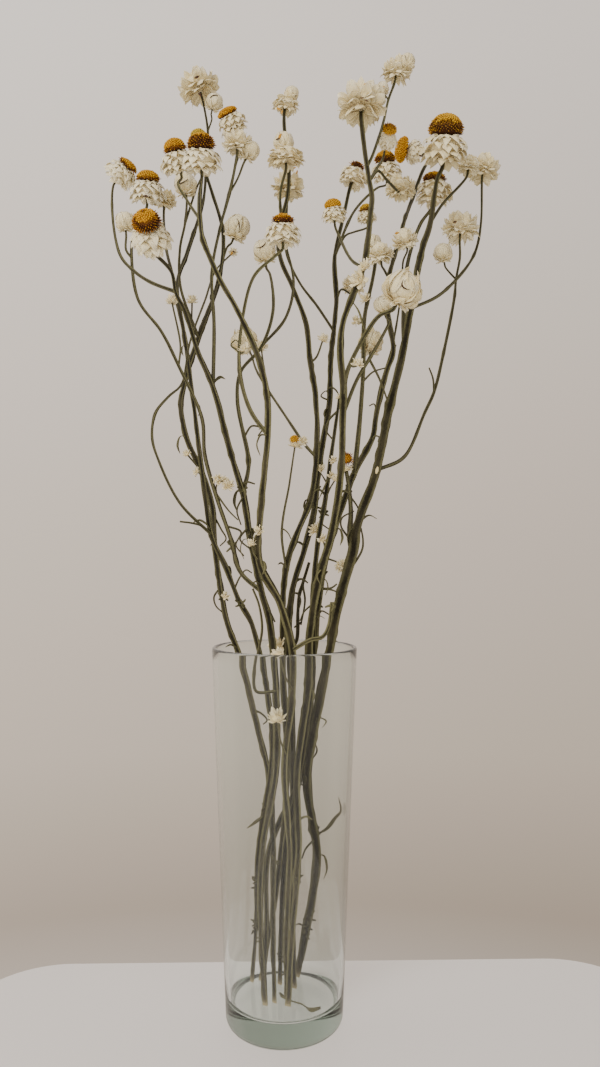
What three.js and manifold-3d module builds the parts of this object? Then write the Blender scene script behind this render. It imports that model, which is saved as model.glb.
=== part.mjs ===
// A bunch of dried winged everlasting standing in a tall clear glass vase.
// Millimetres, +Z up. The origin is the centre of the vase's flat underside. Seen from the front,
// +X is to the right and +Y is to the back.
import * as THREE from 'three';
import Module from 'manifold-3d';

const wasm = await Module();
wasm.setup();

// Driving dimensions of the vase
const VASE_HEIGHT = 250;
const RIM_RADIUS = 48.8;
const BASE_RADIUS = 38.9;
const WALL = 2.8;
const FLOOR_THICKNESS = 17;
const FOOT_ROUNDING = 7;
const INNER_ROUNDING = 5;
const VASE_SIDES = 28;

// Driving dimensions of the plant
const GAP = 0.3; // between touching pieces
const CUT_END = FLOOR_THICKNESS + GAP; // height at which the cut stems stand
const WING = 1.32; // a wing's reach, in stem radii
const GROOVE = 0.62; // depth of the groove between two wings, in stem radii
const LEAF_WIDTH = 1.5; // half the width of a shrivelled leaf
const NECK = 4; // length of the stalk's straight neck under a head
const LARGE_HEAD = 9.85; // above this radius a head has its full layers of bracts
const LARGEST_HEADS = 12.6; // above this radius it has one bract more in each layer
const LARGE_DISC = 7.5; // above this radius a disc has twelve florets in a ring, else eight
const LARGE_BUD = 4.2; // above this radius a bud has two layers of bracts, else one
const SINK = 0.2; // how far fused pieces stand in each other
const THICKEST = 0.35; // share of its length at which a main stem is thickest
const CUT_SHARE = 0.75; // its radius at the cut end, in largest radii
const SEED = 11;

const IVORY = { color: 0xe9e2d0, roughness: 0.75, metalness: 0 };
const GOLD = { color: 0xd79a1e, roughness: 0.85, metalness: 0 };
const OLIVE = { color: 0x585338, roughness: 0.8, metalness: 0 };
const CLEAR = { color: 0xd9e2dc, roughness: 0.05, metalness: 0, transparent: true, opacity: 0.35 };

// One main stem each: thick and thin are its largest radius and the radius at its top, and route is its
// line from the vase's floor to the bloom on its tip. A twig starts on its stem's line. A bloom has
// its kind, the way it faces, the radius of its bracts, and the radius of its golden disc and how high
// the disc rises, in disc radii. A joined disc is part of its bloom and a fused bloom is part of its
// stem. Leaves are [step of the route, direction round the stem in degrees, length].
const STEMS = {
  stem_1: {
    thick: 2.1, thin: 1.05,
    route: [[-6, -9, CUT_END], [-7, -7, 63], [-7, -1, 114], [-11, 6, 165], [-17, 8, 189], [-31, 14, 242],
      [-40, 17, 266], [-49, 27, 313], [-52, 33, 347], [-60, 38, 371], [-72, 44, 397], [-77, 49, 422],
      [-74, 52, 440], [-65, 56, 473], [-53, 60, 508], [-48, 61, 532], [-47, 58, 553], [-53, 52, 575],
      [-62, 35, 604]],
    bloom: { name: '5b', kind: 'skirt', axis: [-0.1, -0.1, 0.98], radius: 8.6, disc: 5.4, rise: 1.2,
      joined: true },
    twigs: [
      { thick: 1.05, thin: 0.8, route: [[-65, 56, 473], [-76, 38, 505], [-75, 26, 529], [-71, 23, 546],
        [-70, 21, 566]],
        bloom: { name: '9', kind: 'ball', axis: [-0.1, -0.15, 0.98], radius: 8.4 } },
      { thick: 0.8, thin: 0.65, route: [[-71, 23, 546], [-63, 27, 574], [-59, 29, 584]], bud: 3 },
      { thick: 0.9, thin: 0.8, route: [[-48, 61, 532], [-44, 58, 542], [-39, 53, 547]],
        bloom: { name: '12', kind: 'ball', axis: [0.4, -0.2, 0.9], radius: 9.8 } },
      { thick: 0.8, thin: 0.65, route: [[-65, 56, 473], [-69, 52, 479], [-69, 47, 497]], bud: 4.5 },
      { thick: 0.65, thin: 0.6, route: [[-60, 38, 371], [-65, 35, 377], [-70, 33, 383]], bud: 3.5 },
    ],
    leaves: [[10, 200, 14], [14, 160, 9], [7, 120, 10], [5, 190, 12]],
  },
  stem_2: {
    thick: 1.8, thin: 0.75,
    route: [[-23, 18, CUT_END], [-20, 14, 53], [-18, 6, 108], [-9, -5, 167], [-8, -3, 191], [-13, 0, 230],
      [-23, 4, 267], [-31, 5, 281], [-40, 8, 303], [-50, 9, 325], [-57, 15, 369], [-64, 21, 417],
      [-71, 34, 461], [-79, 43, 509], [-73, 52, 536], [-62, 58, 577], [-60, 60, 605], [-59, 62, 632],
      [-64, 56, 658]],
    bloom: { name: '1', kind: 'spread', axis: [-0.28, 0.15, 0.95], radius: 15 },
    twigs: [
      { thick: 1, thin: 0.65, route: [[-50, 9, 325], [-71, 0, 347], [-85, -4, 376], [-89, -5, 391],
        [-87, -4, 407], [-79, 1, 419], [-71, 8, 429], [-67, 18, 459], [-59, 44, 498], [-53, 69, 529],
        [-42, 75, 543]], bud: 4 },
      { thick: 0.7, thin: 0.65, route: [[-59, 62, 632], [-56, 60, 640], [-55, 55, 645]],
        bloom: { kind: 'ball', axis: [0.3, -0.3, 0.9], radius: 6.6, fused: true } },
      { thick: 0.9, thin: 0.6, route: [[-50, 9, 325], [-56, 4, 331], [-62, -2, 333], [-70, -6, 334]] },
    ],
    leaves: [[9, 185, 17], [8, 60, 10], [12, 200, 8], [11, 30, 9]],
  },
  stem_3: {
    thick: 2.3, thin: 0.9,
    route: [[-12, -12, CUT_END], [-15, -8, 64], [-14, -6, 115], [-5, -9, 169], [-5, -12, 222],
      [-9, -17, 269], [-14, -19, 287], [-21, -25, 321], [-26, -30, 352], [-32, -34, 372], [-44, -44, 418],
      [-53, -49, 439], [-60, -56, 462], [-65, -60, 472], [-67, -65, 483], [-78, -70, 497]],
    bloom: { name: '10', kind: 'skirt', axis: [-0.08, -0.79, 0.61], radius: 12.5, disc: 7.7, rise: 1.25 },
    twigs: [
      { thick: 1.1, thin: 0.8, route: [[-65, -60, 472], [-83, -48, 482], [-95, -39, 492],
        [-106, -29, 506], [-114, -16, 539], [-112, -10, 563]],
        bloom: { name: '6', kind: 'skirt', axis: [0.67, -0.28, 0.68], radius: 11, disc: 6, rise: 0.6 } },
      { thick: 0.9, thin: 0.8, route: [[-67, -65, 483], [-75, -39, 509], [-81, -6, 548]],
        bloom: { name: '8', kind: 'spread', axis: [0.1, -0.1, 0.98], radius: 8.1 } },
      { thick: 1.15, thin: 0.9, route: [[-44, -44, 418], [-45, -29, 460], [-48, -13, 501], [-43, 0, 538],
        [-38, 5, 560], [-32, -4, 587]],
        bloom: { kind: 'spread', axis: [0.05, -0.05, 0.99], radius: 10.3, fused: true } },
      { thick: 0.85, thin: 0.7, route: [[-43, 0, 538], [-36, 22, 584], [-33, 28, 601], [-36, 24, 614]],
        bloom: { name: '2', kind: 'skirt', axis: [-0.43, -0.36, 0.83], radius: 10.5, disc: 7, rise: 0.6 } },
      { thick: 0.8, thin: 0.65, route: [[-38, 5, 560], [-32, 3, 570], [-26, -1, 582]],
        bloom: { kind: 'ball', axis: [0.5, -0.3, 0.8], radius: 6.8, fused: true } },
      { thick: 1.45, thin: 0.85, route: [[-14, -19, 287], [-29, -15, 301], [-35, -12, 321], [-45, -11, 350],
        [-53, -10, 378], [-55, -10, 403], [-70, -14, 437], [-81, -18, 459], [-95, -23, 478], [-98, -31, 503],
        [-97, -32, 516], [-89, -26, 543]],
        bloom: { name: '7', kind: 'skirt', axis: [0.08, -0.25, 0.96], radius: 11.6, disc: 6.8, rise: 0.85 } },
      { thick: 0.8, thin: 0.65, route: [[-98, -31, 503], [-101, -34, 507], [-101, -35, 520]],
        bloom: { kind: 'ball', axis: [-0.05, -0.1, 0.99], radius: 6.5, fused: true } },
      { thick: 0.7, thin: 0.6, route: [[-70, -14, 437], [-69, -13, 451], [-75, -10, 480]], bud: 4.5 },
      { thick: 0.65, thin: 0.5, route: [[-45, -11, 350], [-45, -10, 358], [-41, -10, 361]], bud: 3 },
      { thick: 1.45, thin: 0.85, route: [[-26, -30, 352], [-23, -21, 371], [-31, -13, 414],
        [-29, -13, 433], [-15, -17, 449], [-7, -23, 472], [-9, -25, 494], [-12, -21, 504]],
        bloom: { name: '18', kind: 'ball', axis: [-0.1, -0.3, 0.95], radius: 7.9 } },
      { thick: 1.05, thin: 0.85, route: [[-15, -17, 449], [1, -4, 472], [6, 5, 500], [-1, 5, 531],
        [-3, 0, 558], [1, -4, 577]],
        bloom: { name: '15', kind: 'capped', axis: [0.02, -0.1, 0.98], radius: 12.4 } },
      { thick: 1.1, thin: 0.7, route: [[-5, -12, 222], [-18, -18, 223], [-19, -21, 238], [-16, -24, 252],
        [-14, -27, 265], [-16, -29, 280], [-20, -28, 290]] },
    ],
    leaves: [[7, 180, 14], [7, 300, 12], [8, 150, 15], [6, 230, 12], [10, 20, 9]],
  },
  stem_4: {
    thick: 2.35, thin: 1,
    route: [[2, -1, CUT_END], [2, -4, 62], [4, -10, 117], [1, -14, 170], [6, -18, 223], [6, -21, 250],
      [-2, -26, 281], [-15, -34, 307], [-14, -42, 337], [-9, -53, 385], [-9, -59, 408], [-14, -65, 430],
      [-27, -70, 459], [-37, -73, 476], [-47, -72, 500], [-49, -69, 512], [-50, -66, 526], [-50, -56, 549]],
    bloom: { name: '5', kind: 'skirt', axis: [0, -0.25, 0.97], radius: 12.2, disc: 7.6, rise: 1.1 },
    twigs: [
      { thick: 0.9, thin: 0.8, route: [[-49, -69, 512], [-60, -49, 533], [-67, -40, 547], [-67, -31, 560]],
        bloom: { name: '4', kind: 'skirt', axis: [-0.22, -0.3, 0.93], radius: 11.5, disc: 6.4, rise: 1.15 } },
      { thick: 1.3, thin: 0.85, route: [[-9, -53, 385], [-20, -51, 401], [-27, -48, 426], [-26, -47, 455],
        [-18, -55, 483], [-5, -62, 493], [0, -62, 502]],
        bloom: { name: '17', kind: 'skirt', axis: [0, -0.15, 0.98], radius: 11.2, disc: 5.75, rise: 0.85 } },
      { thick: 0.65, thin: 0.5, route: [[-15, -34, 307], [-19, -37, 313], [-20, -38, 318]], bud: 3.5 },
      { thick: 0.65, thin: 0.5, route: [[6, -18, 223], [2, -24, 231], [-3, -27, 246]], bud: 5 },
      { thick: 0.65, thin: 0.5, route: [[2, -15, 180], [-2, -21, 191], [-4, -24, 205]], bud: 6.5 },
      { thick: 1.3, thin: 1, route: [[6, -21, 250], [10, -25, 253], [17, -27, 257], [25, -26, 259],
        [29, -24, 266], [31, -22, 281]] },
    ],
    leaves: [[9, 190, 14], [9, 150, 10], [7, 330, 9]],
  },
  stem_5: {
    thick: 2, thin: 1.1,
    route: [[-17, 20, CUT_END], [-10, 13, 54], [-2, 4, 111], [2, 2, 166], [0, 5, 220], [-1, 6, 247],
      [1, 9, 301], [8, 10, 324], [18, 13, 349], [22, 15, 379], [22, 17, 420], [18, 17, 446], [15, 17, 474],
      [6, 18, 498], [-3, 21, 521], [-4, 22, 538], [2, 20, 565], [3, 17, 582], [0, 18, 608], [0, 17, 625]],
    bloom: { name: '14', kind: 'capped', axis: [0.12, -0.1, 0.98], radius: 9.7 },
    twigs: [
      { thick: 0.85, thin: 0.6, route: [[1, 9, 301], [-2, 2, 327], [3, -2, 358], [7, -6, 384]], bud: 6 },
      { thick: 1.05, thin: 0.7, route: [[22, 15, 379], [14, 22, 389], [-2, 40, 415], [-17, 57, 440],
        [-23, 66, 452], [-29, 83, 470]],
        bloom: { name: '20', kind: 'ball', axis: [-0.4, -0.2, 0.88], radius: 9.8 } },
      { thick: 0.7, thin: 0.6, route: [[-17, 57, 440], [-17, 65, 452], [-19, 70, 468]], bud: 6 },
      { thick: 0.8, thin: 0.6, route: [[18, 17, 446], [22, 13, 449], [26, 9, 459]], bud: 4.5 },
    ],
    leaves: [[6, 160, 8], [11, 60, 9], [8, 190, 10]],
  },
  stem_6: {
    thick: 2.4, thin: 1.2,
    route: [[7, 10, CUT_END], [6, 12, 56], [7, 14, 110], [6, 18, 163], [5, 18, 218], [3, 20, 245],
      [5, 25, 284], [14, 31, 315], [21, 36, 342], [25, 42, 379], [32, 49, 418], [34, 53, 460],
      [36, 55, 477], [38, 57, 502], [37, 58, 536], [44, 56, 567], [49, 52, 588]],
    bloom: { name: '29', kind: 'skirt', axis: [0.3, -0.05, 0.95], radius: 11.8, disc: 4.8, rise: 0.7 },
    twigs: [
      { thick: 1, thin: 0.8, route: [[37, 58, 536], [50, 47, 564], [65, 30, 574], [71, 17, 576]],
        bloom: { name: '28', kind: 'skirt', axis: [-0.1, -0.25, 0.96], radius: 10.4, disc: 6.3,
          rise: 1.15 } },
      { thick: 0.8, thin: 0.65, route: [[38, 57, 502], [42, 64, 512], [51, 74, 515]],
        bloom: { name: '39', kind: 'spread', axis: [0.1, 0, 0.98], radius: 9 } },
      { thick: 1, thin: 0.8, route: [[36, 55, 477], [23, 49, 495], [10, 47, 512], [0, 44, 535],
        [1, 43, 567], [1, 42, 577]],
        bloom: { name: '16', kind: 'spread', axis: [0.12, 0.1, 0.98], radius: 12.3 } },
      { thick: 0.8, thin: 0.65, route: [[37, 58, 536], [44, 52, 548], [50, 44, 548], [59, 36, 553]],
        bloom: { name: '31', kind: 'skirt', axis: [-0.1, -0.2, 0.96], radius: 7.1, disc: 4.3, rise: 1.1,
          joined: true } },
      { thick: 0.65, thin: 0.5, route: [[14, 31, 315], [18, 28, 325], [22, 26, 330]], bud: 4 },
      { thick: 1.4, thin: 1, route: [[3, 20, 245], [8, 27, 251], [9, 31, 271],
        [10, 32, 283], [13, 32, 293], [17, 33, 306]] },
    ],
    leaves: [[8, 240, 11], [10, 200, 8], [6, 30, 12], [7, 200, 9]],
  },
  stem_7: {
    thick: 2.5, thin: 1.2,
    route: [[3, -13, CUT_END], [6, -15, 67], [10, -11, 117], [9, -7, 168], [16, -10, 222], [18, -14, 265],
      [23, -19, 295], [32, -25, 328], [37, -32, 363], [38, -39, 401], [38, -43, 413], [37, -48, 453],
      [50, -51, 490], [55, -47, 525], [56, -47, 535], [54, -48, 546], [51, -52, 562], [48, -62, 582]],
    bloom: { name: '23', kind: 'spread', axis: [0.05, 0.12, 0.99], radius: 15.1 },
    twigs: [
      { thick: 1.05, thin: 0.8, route: [[54, -48, 546], [60, -39, 556], [66, -29, 555], [77, -6, 550],
        [79, 1, 558]],
        bloom: { name: '33', kind: 'spread', axis: [0.05, -0.2, 0.96], radius: 10.9 } },
      { thick: 1, thin: 0.7, route: [[52.5, -50, 554], [56, -48, 562], [64, -39, 589], [67, -36, 603],
        [72, -35, 619]],
        bloom: { name: '22', kind: 'spread', axis: [0.2, -0.1, 0.97], radius: 9.8 } },
      { thick: 1.5, thin: 1.1, route: [[38, -43, 413], [40, -47, 426], [51, -61, 447], [58, -70, 455],
        [67, -79, 460]],
        bloom: { name: '38', kind: 'ball', axis: [0.35, -0.5, 0.75], radius: 10.8 } },
      { thick: 1.2, thin: 0.9, route: [[38, -39, 401], [47, -31, 424], [58, -27, 443], [68, -32, 462],
        [64, -39, 466]],
        bloom: { kind: 'ball', axis: [-0.35, -0.3, 0.88], radius: 5.8, fused: true } },
      { thick: 0.6, thin: 0.5, route: [[67, -36, 603], [65, -36, 606], [64, -35, 608]],
        bloom: { kind: 'ball', axis: [-0.2, -0.3, 0.93], radius: 4.2, fused: true } },
      { thick: 1, thin: 0.85, route: [[50, -51, 490], [44, -39, 498], [37, -8, 525], [34, 3, 541]],
        bloom: { name: '30', kind: 'skirt', axis: [-0.12, -0.2, 0.96], radius: 8.6, disc: 5.4, rise: 0.95,
          joined: true } },
      { thick: 0.85, thin: 0.7, route: [[54, -48, 546], [60, -38, 559], [65, -22, 572], [66, -31, 577]],
        bloom: { name: '25', kind: 'skirt', axis: [0.12, -0.82, 0.55], radius: 8.5, disc: 4.5, rise: 0.9 } },
    ],
    leaves: [[6, 0, 11], [5, 20, 10], [7, 340, 12], [4, 330, 9]],
  },
  stem_8: {
    thick: 2.1, thin: 1,
    route: [[-3, 15, CUT_END], [-2, 13, 56], [1, 11, 111], [11, 2, 165], [18, -1, 221], [20, -1, 248],
      [20, 0, 288], [23, 2, 320], [28, 5, 350], [32, 7, 378], [38, 14, 420]],
    twigs: [
      { thick: 0.65, thin: 0.5, route: [[28, 5, 350], [31, 1, 357], [34, 0, 362]], bud: 3.5 },
    ],
    bud: 3.5,
    leaves: [[10, 150, 14], [8, 200, 10], [7, 20, 9]],
  },
  stem_9: {
    thick: 2.2, thin: 0.85,
    route: [[-14, 5, CUT_END], [-12, 4, 59], [-10, 7, 111], [13, 13, 164], [19, 14, 219], [23, 16, 270],
      [29, 19, 309], [39, 23, 341], [49, 27, 368], [63, 30, 396], [65, 31, 409], [73, 29, 443],
      [77, 26, 456], [73, 21, 481], [73, 18, 505], [80, 21, 531], [85, 23, 549], [91, 33, 566],
      [97, 31, 583], [101, 10, 588], [98, -5, 584], [90, -8, 582]],
    bloom: { name: '27', kind: 'skirt', axis: [-0.95, -0.2, 0.1], radius: 9.2, disc: 8, rise: 0.75 },
    twigs: [
      { thick: 0.9, thin: 0.7, route: [[73, 18, 505], [68, 6, 508], [65, -6, 511]],
        bloom: { name: '37', kind: 'spread', axis: [-0.1, -0.2, 0.96], radius: 9.4 } },
      { thick: 1.9, thin: 1.2, route: [[49, 27, 368], [54, 40, 409], [57, 47, 447], [58, 48, 486],
        [63, 36, 511], [64, 26, 520], [62, 18, 526]],
        bloom: { kind: 'ball', axis: [-0.1, -0.3, 0.95], radius: 5.9, fused: true } },
      { thick: 0.7, thin: 0.65, route: [[57, 47, 447], [60, 53, 454], [63, 60, 464]],
        bloom: { kind: 'ball', axis: [0.1, 0, 0.98], radius: 8.8, fused: true } },
      { thick: 0.85, thin: 0.65, route: [[63, 30, 396], [68, 43, 430], [78, 42, 464], [82, 18, 501],
        [81, 3, 512], [81, -12, 519]],
        bloom: { name: '36', kind: 'ball', axis: [-0.3, -0.5, 0.8], radius: 9 } },
      { thick: 0.65, thin: 0.5, route: [[29, 19, 309], [37, 15, 306], [38, 11, 304]], bud: 4.5 },
    ],
    leaves: [[8, 250, 10], [12, 60, 9], [5, 100, 10]],
  },
  stem_10: {
    thick: 3.2, thin: 1.35,
    route: [[9, 26, CUT_END], [15, 22, 49], [23, 15, 105], [16, 4, 158], [25, -2, 217], [31, -4, 248],
      [38, -6, 283], [46, -9, 312], [48, -10, 328], [60, -12, 361], [62, -12, 368], [70, -14, 407],
      [79, -17, 447], [84, -18, 474], [91, -22, 512], [96, -25, 529], [99, -31, 553], [103, -32, 566]],
    bloom: { name: '26', kind: 'skirt', axis: [0.04, -0.25, 0.96], radius: 15.4, disc: 10.2, rise: 1.15 },
    twigs: [
      { thick: 1.25, thin: 0.85, route: [[62, -12, 368], [81, -2, 378], [96, 6, 409], [103, 10, 424],
        [110, 13, 451], [118, 14, 491], [119, 13, 503], [121, 9, 517], [121, 8, 533]],
        bloom: { name: '35', kind: 'spread', axis: [0.05, -0.05, 0.98], radius: 13.1 } },
      { thick: 0.7, thin: 0.65, route: [[119, 13, 503], [113, 8, 507], [109, 3, 513]],
        bloom: { kind: 'ball', axis: [-0.2, -0.3, 0.93], radius: 6.8, fused: true } },
      { thick: 0.8, thin: 0.5, route: [[103, 10, 424], [102, 8, 433], [99, 6, 440]] },
      { thick: 1.1, thin: 0.8, route: [[84, -18, 474], [103, -9, 485], [124, 6, 508], [134, 16, 526],
        [137, 15, 544], [137, 10, 575]],
        bloom: { name: '34a', kind: 'spread', axis: [0.1, 0.1, 0.98], radius: 11.8 } },
      { thick: 1.05, thin: 0.8, route: [[96, -25, 529], [104, -20, 542], [123, -9, 570]],
        bloom: { name: '34b', kind: 'spread', axis: [0.1, 0, 0.98], radius: 8.1 } },
      { thick: 1.5, thin: 1.1, route: [[79, -17, 447], [81, 0, 477], [85, 8, 514], [94, 10, 541],
        [103, 12, 558]],
        bloom: { name: '32', kind: 'skirt', axis: [0.05, -0.15, 0.98], radius: 13, disc: 7.2, rise: 0.8 } },
      { thick: 1.8, thin: 1.2, route: [[46, -9, 312], [44, -2, 322], [45, 3, 341],
        [44, 6, 357], [42, 4, 369]], bud: 5 },
    ],
    leaves: [[8, 10, 16], [8, 200, 12], [2, 320, 17], [5, 60, 9], [1, 180, 10]],
  },
};

// Layers of a head from its foot up: radius and height, in head radii, of the bracts' tips, of the
// valleys between them, and of the core above them.
const LAYERS = {
  skirt: [
    { tip: [0.82, -0.14], valley: [0.42, 0.12], core: [0.34, 0.26] },
    { tip: [1.0, 0.16], valley: [0.5, 0.34], core: [0.4, 0.5] },
    { tip: [1.0, 0.5], valley: [0.52, 0.58], core: [0.42, 0.72] },
    { tip: [0.86, 0.78], valley: [0.52, 0.8], core: [0.4, 0.9] },
  ],
  spread: [
    { tip: [0.78, -0.28], valley: [0.4, 0.08], core: [0.32, 0.22] },
    { tip: [1.0, 0.12], valley: [0.5, 0.3], core: [0.4, 0.48] },
    { tip: [0.98, 0.66], valley: [0.52, 0.6], core: [0.4, 0.74] },
    { tip: [0.68, 1.2], valley: [0.42, 0.88], core: [0.24, 0.92] },
  ],
  capped: [
    { tip: [0.8, -0.14], valley: [0.42, 0.12], core: [0.34, 0.26] },
    { tip: [1.0, 0.14], valley: [0.5, 0.32], core: [0.4, 0.46] },
    { tip: [0.95, 0.46], valley: [0.5, 0.56], core: [0.44, 0.72] },
    { tip: [0.64, 1.14], valley: [0.6, 0.88], core: [0.56, 1.2] },
    { tip: [0.48, 1.66], valley: [0.52, 1.42], core: [0.3, 1.6] },
  ],
  ball: [
    { tip: [1.0, 0.78], valley: [0.78, 0.4], core: [0.86, 0.72] },
    { tip: [0.95, 1.34], valley: [0.92, 0.98], core: [0.78, 1.24] },
    { tip: [0.6, 1.8], valley: [0.74, 1.5], core: [0.44, 1.64] },
  ],
};
const TOP = { skirt: 0.9, spread: 0.98, capped: 1.74, ball: 1.62 }; // height of the crown, in head radii
const FOOT = 0.12; // radius of the flat foot, in head radii

const UP = new THREE.Vector3(0, 0, 1);
const BACK = new THREE.Vector3(0, 1, 0);
const RIGHT = new THREE.Vector3(1, 0, 0);

// A repeatable draw between -1 and 1
function draws(seed) {
  let state = seed;
  return () => {
    state = (state * 1664525 + 1013904223) % 4294967296;
    return (state / 4294967296) * 2 - 1;
  };
}

// A closed body from points and triangles, turned to face outwards
function body(points, triangles) {
  let volume = 0;
  for (const [a, b, c] of triangles) {
    volume += points[a].clone().cross(points[b]).dot(points[c]);
  }
  const faces = volume < 0 ? triangles.map(([a, b, c]) => [a, c, b]) : triangles;
  return new wasm.Manifold(new wasm.Mesh({
    numProp: 3,
    vertProperties: new Float32Array(points.flatMap((p) => [p.x, p.y, p.z])),
    triVerts: new Uint32Array(faces.flat()),
  }));
}

// Two rings of the same count joined by a band of triangles
function band(lower, upper, count) {
  const triangles = [];
  for (let i = 0; i < count; i += 1) {
    const next = (i + 1) % count;
    triangles.push([lower + i, lower + next, upper + next], [lower + i, upper + next, upper + i]);
  }
  return triangles;
}

// A ring closed by a point below it or above it
function fan(ring, count, apex, below) {
  const triangles = [];
  for (let i = 0; i < count; i += 1) {
    const next = (i + 1) % count;
    triangles.push(below ? [ring + i, apex, ring + next] : [ring + next, apex, ring + i]);
  }
  return triangles;
}

// A tapering rod along points, with its section given as [across, along the side] in radii
function rod(points, radii, section, end = '') {
  const count = section.length;
  const vertices = [];
  const side = new THREE.Vector3();
  points.forEach((point, i) => {
    const before = points[Math.max(i - 1, 0)];
    const after = points[Math.min(i + 1, points.length - 1)];
    const along = end === 'cut' && i === 0 ? UP.clone() : after.clone().sub(before).normalize();
    if (i === 0) {
      side.crossVectors(along, Math.abs(along.y) < 0.9 ? BACK : RIGHT);
    }
    side.addScaledVector(along, -side.dot(along)).normalize();
    const other = along.clone().cross(side);
    if (end === 'pointed' && i === points.length - 1) return;
    for (const [u, v] of section) {
      vertices.push(point.clone().addScaledVector(side, u * radii[i]).addScaledVector(other, v * radii[i]));
    }
  });
  const rings = vertices.length / count;
  const triangles = [];
  for (let i = 0; i < rings - 1; i += 1) triangles.push(...band(i * count, (i + 1) * count, count));
  vertices.push(points[0].clone(), points[points.length - 1].clone());
  triangles.push(...fan(0, count, rings * count, true));
  triangles.push(...fan((rings - 1) * count, count, rings * count + 1, false));
  return body(vertices, triangles);
}

function starSection(wings, reach, groove) {
  return Array.from({ length: wings * 2 }, (_, i) => {
    const radius = i % 2 ? groove : reach;
    const angle = (i * Math.PI) / wings;
    return [radius * Math.cos(angle), radius * Math.sin(angle)];
  });
}
const WINGED = starSection(3, WING, GROOVE);
const THREE_EDGED = [[1.2, 0], [-0.6, 1.04], [-0.6, -1.04]];
const BLADE = [[1, -0.2], [0, 0.4], [-1, -0.2]];

function vectors(route) {
  return route.map((point) => new THREE.Vector3(...point));
}

// Lines of a leaf, out from the stem and up, in leaf lengths
const RISING = [[0, 0], [0.2, 0.42], [0.52, 0.62], [0.84, 0.46]];
const HANGING = [[0, 0], [0.34, 0.04], [0.5, -0.4], [0.34, -0.86]];

// Radii along a route. A twig shrinks evenly to its tip. A main stem is thickest near the vase's rim.
function taper(points, thick, thin, main) {
  const reached = [0];
  for (let i = 1; i < points.length; i += 1) {
    reached.push(reached[i - 1] + points[i].distanceTo(points[i - 1]));
  }
  return reached.map((length) => {
    const share = length / reached[reached.length - 1];
    if (!main) return thick + (thin - thick) * share;
    const above = Math.max(0, (share - THICKEST) / (1 - THICKEST));
    const below = Math.max(0, 1 - share / THICKEST);
    return thick + (thin - thick) * above ** 2 - (1 - CUT_SHARE) * thick * below;
  });
}

// A shrivelled leaf that leaves the stem upwards and curls over, or hangs down beside it
function leaf(root, degrees, length, draw) {
  const angle = THREE.MathUtils.degToRad(degrees);
  const outward = new THREE.Vector3(Math.cos(angle), Math.sin(angle), 0);
  const sideways = new THREE.Vector3(-outward.y, outward.x, 0).multiplyScalar(0.25 * length * draw());
  const curl = draw() > -0.2 ? RISING : HANGING;
  const points = curl.map(([out, up], i) => root.clone()
    .addScaledVector(outward, out * length)
    .add(new THREE.Vector3(0, 0, up * length))
    .addScaledVector(sideways, (i / 3) ** 2));
  return rod(points, [1, LEAF_WIDTH, LEAF_WIDTH * 0.85, 0], BLADE, 'pointed');
}

// A head of pointed bracts in folded layers, standing on its foot with its crown up +Z
function bractHead(kind, radius, bracts, layers, seed) {
  const draw = draws(seed);
  const points = [new THREE.Vector3(0, 0, 0)];
  const triangles = [];
  const step = (2 * Math.PI) / bracts;
  const jag = kind === 'ball' ? 0.03 : 0.07;
  const ringPoint = (r, h, angle) => points.push(
    new THREE.Vector3(r * radius * Math.cos(angle), r * radius * Math.sin(angle), h * radius)) - 1;
  let turn = 0;
  let core = Array.from({ length: bracts }, (_, i) => ringPoint(FOOT, 0, (i - 0.5) * step));
  for (let i = 0; i < bracts; i += 1) triangles.push([0, core[(i + 1) % bracts], core[i]]);
  for (const layer of layers) {
    const tips = [];
    const valleys = [];
    const above = [];
    for (let i = 0; i < bracts; i += 1) {
      const angle = turn + i * step;
      const reach = 1 + jag * draw();
      const lift = 0.6 * jag * draw();
      tips.push(ringPoint(layer.tip[0] * reach, layer.tip[1] + lift, angle + 0.16 * step * draw()));
      valleys.push(ringPoint(layer.valley[0], layer.valley[1], angle + step / 2));
      above.push(ringPoint(layer.core[0], layer.core[1], angle));
    }
    for (let i = 0; i < bracts; i += 1) {
      const next = (i + 1) % bracts;
      triangles.push([core[i], core[next], tips[i]], [core[i], tips[i], valleys[(i + bracts - 1) % bracts]]);
      triangles.push([core[next], valleys[i], tips[i]]);
      triangles.push([above[i], tips[i], valleys[i]], [above[i], valleys[i], above[next]]);
      triangles.push([above[next], valleys[i], tips[next]]);
    }
    core = above;
    turn += step / 2;
  }
  const crown = ringPoint(0, TOP[kind], 0);
  for (let i = 0; i < bracts; i += 1) triangles.push([core[i], core[(i + 1) % bracts], crown]);
  return body(points, triangles);
}

// Rings of a disc from its underside up: radius, height and unevenness, in disc radii
const DISC_RINGS = [[0.62, 0, 0], [1, 0.3, 0.14], [0.94, 0.62, 0.1], [0.64, 0.96, 0.1]];
const DISC_TOP = 1.1; // height of a disc's top, in disc radii

// A golden disc of florets, a dome with a spiky lower ring, standing on its flat underside
function floretDisc(radius, florets, rise) {
  const points = [];
  const triangles = [];
  DISC_RINGS.forEach(([r, h, relief], level) => {
    for (let i = 0; i < florets; i += 1) {
      const raised = (i + level) % 2 ? 1 + relief : 1 - relief;
      const angle = (2 * Math.PI * i) / florets;
      points.push(new THREE.Vector3(
        r * raised * radius * Math.cos(angle), r * raised * radius * Math.sin(angle), h * rise * radius));
    }
    if (level > 0) triangles.push(...band((level - 1) * florets, level * florets, florets));
  });
  points.push(new THREE.Vector3(0, 0, 0), new THREE.Vector3(0, 0, DISC_TOP * rise * radius));
  triangles.push(...fan(0, florets, 4 * florets, true));
  triangles.push(...fan(3 * florets, florets, 4 * florets + 1, false));
  return body(points, triangles);
}

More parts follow.
